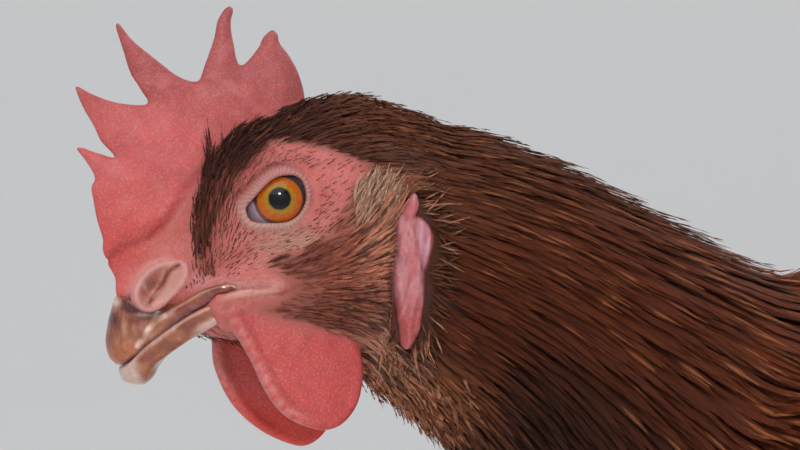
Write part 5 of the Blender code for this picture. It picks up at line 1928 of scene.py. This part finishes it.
flight_paint = feather_paint("flight feathers", 0.42, 0.55)
for side, word in ((1, "left"), (-1, "right")):
    coat = Feathers()
    order = np.arange(12)
    start = 0.3 + 0.012 * order
    spread = -0.62 + 0.125 * order
    reach = np.interp(order, [0, 3, 7, 11], [0.34, 0.44, 0.55, 0.6]) + 0.012 * (order % 2)
    lift = 1.5 - 0.42 * order
    line, out = wing_lines(start, spread, reach, lift, side, steps=14, close=0.2, sunk=2)
    coat.add(line, out, np.interp(order, [0, 11], [10.5, 8.5]), outline_round, 34, 0.06, line[:, 0],
             flight_tone, ragged=0.25, split=0.97, cup=0.1)
    shafts(line, out, 0.45, (0.11, 0.045, 0.022), coat)
    for first, last, gap, columns, long, wide, rise in (
        (0.3, 0.2, 0.05, 11, 0.235, 8, 2.6), (0.2, 0.095, 0.035, 13, 0.165, 6.6, 3.4),
        (0.09, 0, 0.022, 15, 0.12, 5.2, 3.6),
    ):
        starts = np.arange(first, last, -gap)
        start, spread = np.meshgrid(starts, np.linspace(-1, 1, columns), indexing="ij")
        spread = spread + (np.arange(len(starts)) % 2)[:, None] / columns
        start, spread = start.ravel(), spread.ravel()
        start = start + 0.02 * (1 - spread**2) + rng.normal(0, 0.004, len(start))
        spread = np.clip(spread + rng.normal(0, 0.02, len(start)), -1.05, 1.05)
        reach = long * rng.uniform(0.88, 1.08, len(start))
        lift = rise + rng.normal(0, 0.25, len(start))
        line, out = wing_lines(np.maximum(start, 0.03), spread, reach, lift, side)
        half = wide * rng.uniform(0.9, 1.1, len(start))
        coat.add(line, out, half, outline_round, 16, 0.16, line[:, 0], body_tone, ragged=0.8,
                 split=0.92, cup=0.28)
    coat.make(f"wing_feathers_{word}", flight_paint)


# ---------------- the tail
# Seven pairs of stiff tail feathers that stand up like a tent. Softer coverts lie round their
# roots and hide where they leave the body.


def tail_tone(roots, across, along, own):
    base = np.ones(across.shape + (1,)) * np.array((0.06, 0.018, 0.01))
    base = base * (0.8 + 0.4 * own[..., None])
    tip = ease(along, 0.72, 0.95)[..., None]
    return base * (1 - tip) + np.array((0.024, 0.01, 0.009)) * tip


TAIL_PAIRS = 7
tail_lines, tail_outs, tail_halves = [], [], []
for side in (1, -1):
    for pair in range(TAIL_PAIRS):
        outer = pair / (TAIL_PAIRS - 1)
        slope = radians(50 - 36 * outer)
        reach = np.linspace(0, 1, 13)
        run = (116 - 14 * outer**2) * reach
        droop = 3 * reach**2
        line = np.stack([
            -280 - 8 * outer - run * cos(slope),
            2 - 30 * outer + run * sin(slope) - droop,
            side * (2 + 7 * outer + 21 * outer * reach) - side * (1 - outer) * 0.4 * pair,
        ], -1)
        lean = unit(np.array([-8, -34, side * (9 + 14)]))
        out = unit(np.cross(unit(line[-1] - line[0]), lean)) * side
        out = out if out[2] * side > 0 else -out
        tail_lines.append(line + out * (1.6 - 2.6 * outer))
        tail_outs.append(np.tile(out, (13, 1)))
        tail_halves.append(17 - 2.5 * outer)
tail = Feathers()
line, out = np.stack(tail_lines), np.stack(tail_outs)
tail.add(line, out, np.array(tail_halves), outline_round, 44, 0.05, line[:, 0], tail_tone,
         start=0.05, ragged=0.3, split=0.98, cup=0.06)
shafts(line, out, 0.6, (0.08, 0.034, 0.02), tail)
row, angle = np.meshgrid(np.arange(11.1, 12.9, 0.16), np.arange(-90, 91, 11), indexing="ij")
row, angle = row.ravel(), angle.ravel() + rng.normal(0, 3, row.size)
roots = round_section(skin_rows(row), np.radians(angle))
length = rng.uniform(34, 50, len(roots)) * (1 - 0.35 * ease(row, 12.2, 12.9))
tail.grow(roots, lie(roots), length, rng.uniform(7, 10, len(roots)), 7, 16, 0.16,
          body_tone, steps=6, far=10, shape=outline_round, ragged=0.9, split=0.9)
tail.make("tail_feathers", flight_paint, ("tail",))


# ---------------- the studio
# A round pale floor that curves up into a pale wall on every side, one large soft light over the
# hen's left front, one small lamp that lights the eye, and a weak light from behind.

scene = bpy.context.scene
FLOOR_RADIUS, WALL_BEND, WALL_TOP = 3, 2, 3.4
profile = [(1, 0), (FLOOR_RADIUS, 0)]
for k in range(1, 17):
    turn = radians(90 * k / 16)
    profile.append((FLOOR_RADIUS + WALL_BEND * sin(turn), WALL_BEND * (1 - cos(turn))))
profile.append((FLOOR_RADIUS + WALL_BEND, WALL_TOP))
FLOOR_SIDES = 72
around = np.arange(FLOOR_SIDES) / FLOOR_SIDES * 2 * pi
places = [
    np.stack([r * np.cos(around), r * np.sin(around), up + 0 * around], -1) for r, up in profile
]
places = np.concatenate([*places, [(0, 0, 0)]])
stage = make_mesh("studio floor", places, ring_faces(len(profile), FLOOR_SIDES, len(places) - 1))
stage.data.shade_smooth()
plaster = Paint("pale plaster", Roughness=0.9, Specular_IOR_Level=0.2)
cloud = plaster.noise(2, 3)
colour = plaster.over((0.8, 0.79, 0.77, 1), cloud, (0.3, 0.7, 0.3), (0.74, 0.735, 0.72), "MIX")
plaster.use("Base Color", colour)
plaster.use("Normal", plaster.bump(plaster.noise(60, 3), 0.05, 0.001))
plaster.use("Emission Color", (0.93, 0.95, 1, 1))
plaster.use("Emission Strength", 0.2)
stage.data.materials.append(plaster.material)


def aim(made, target):
    """Turns a light or camera to face a place."""
    way = Vector(target) - made.location
    made.rotation_euler = way.to_track_quat("-Z", "Y").to_euler()


def direction(azimuth, height):
    """The way to a lamp or camera, round from the hen's front to its left and up from level."""
    turn, lift = radians(azimuth), radians(height)
    return Vector((sin(turn) * cos(lift), -cos(turn) * cos(lift), sin(lift)))


def lamp(name, azimuth, height, distance, size, power, colour):
    """A round soft light that faces the hen's head."""
    light = bpy.data.lights.new(name, "AREA")
    light.shape, light.size, light.energy, light.color = "DISK", size, power, colour
    made = bpy.data.objects.new(name, light)
    scene.collection.objects.link(made)
    made.location = Vector(HEAD) + direction(azimuth, height) * distance
    aim(made, HEAD)


HEAD = tuple(to_world((-20, -5, 0)))
lamp("soft light", 55, 60, 1.7, 2.2, 20.5, (1, 0.985, 0.96))
lamp("eye light", 77, 27.5, 0.9, 0.11, 2.6, (1, 0.99, 0.97))
lamp("back light", 205, 45, 2.2, 1.2, 11, (0.96, 0.98, 1))
scene.world = bpy.data.worlds.new("studio air")
scene.world.use_nodes = True
air = scene.world.node_tree.nodes["Background"]
air.inputs["Color"].default_value, air.inputs["Strength"].default_value = (0.93, 0.96, 1, 1), 0.3
scene.view_settings.view_transform = "Standard"

camera = bpy.data.objects.new("camera", bpy.data.cameras.new("camera"))
scene.collection.objects.link(camera)
LOOK_AT = Vector(to_world((-23.4, -5.3, 13)))
camera.location = LOOK_AT + direction(75, -1) * 0.5
aim(camera, LOOK_AT)
camera.data.lens, camera.data.sensor_width, camera.data.clip_start = 119, 36, 0.01
scene.camera = camera
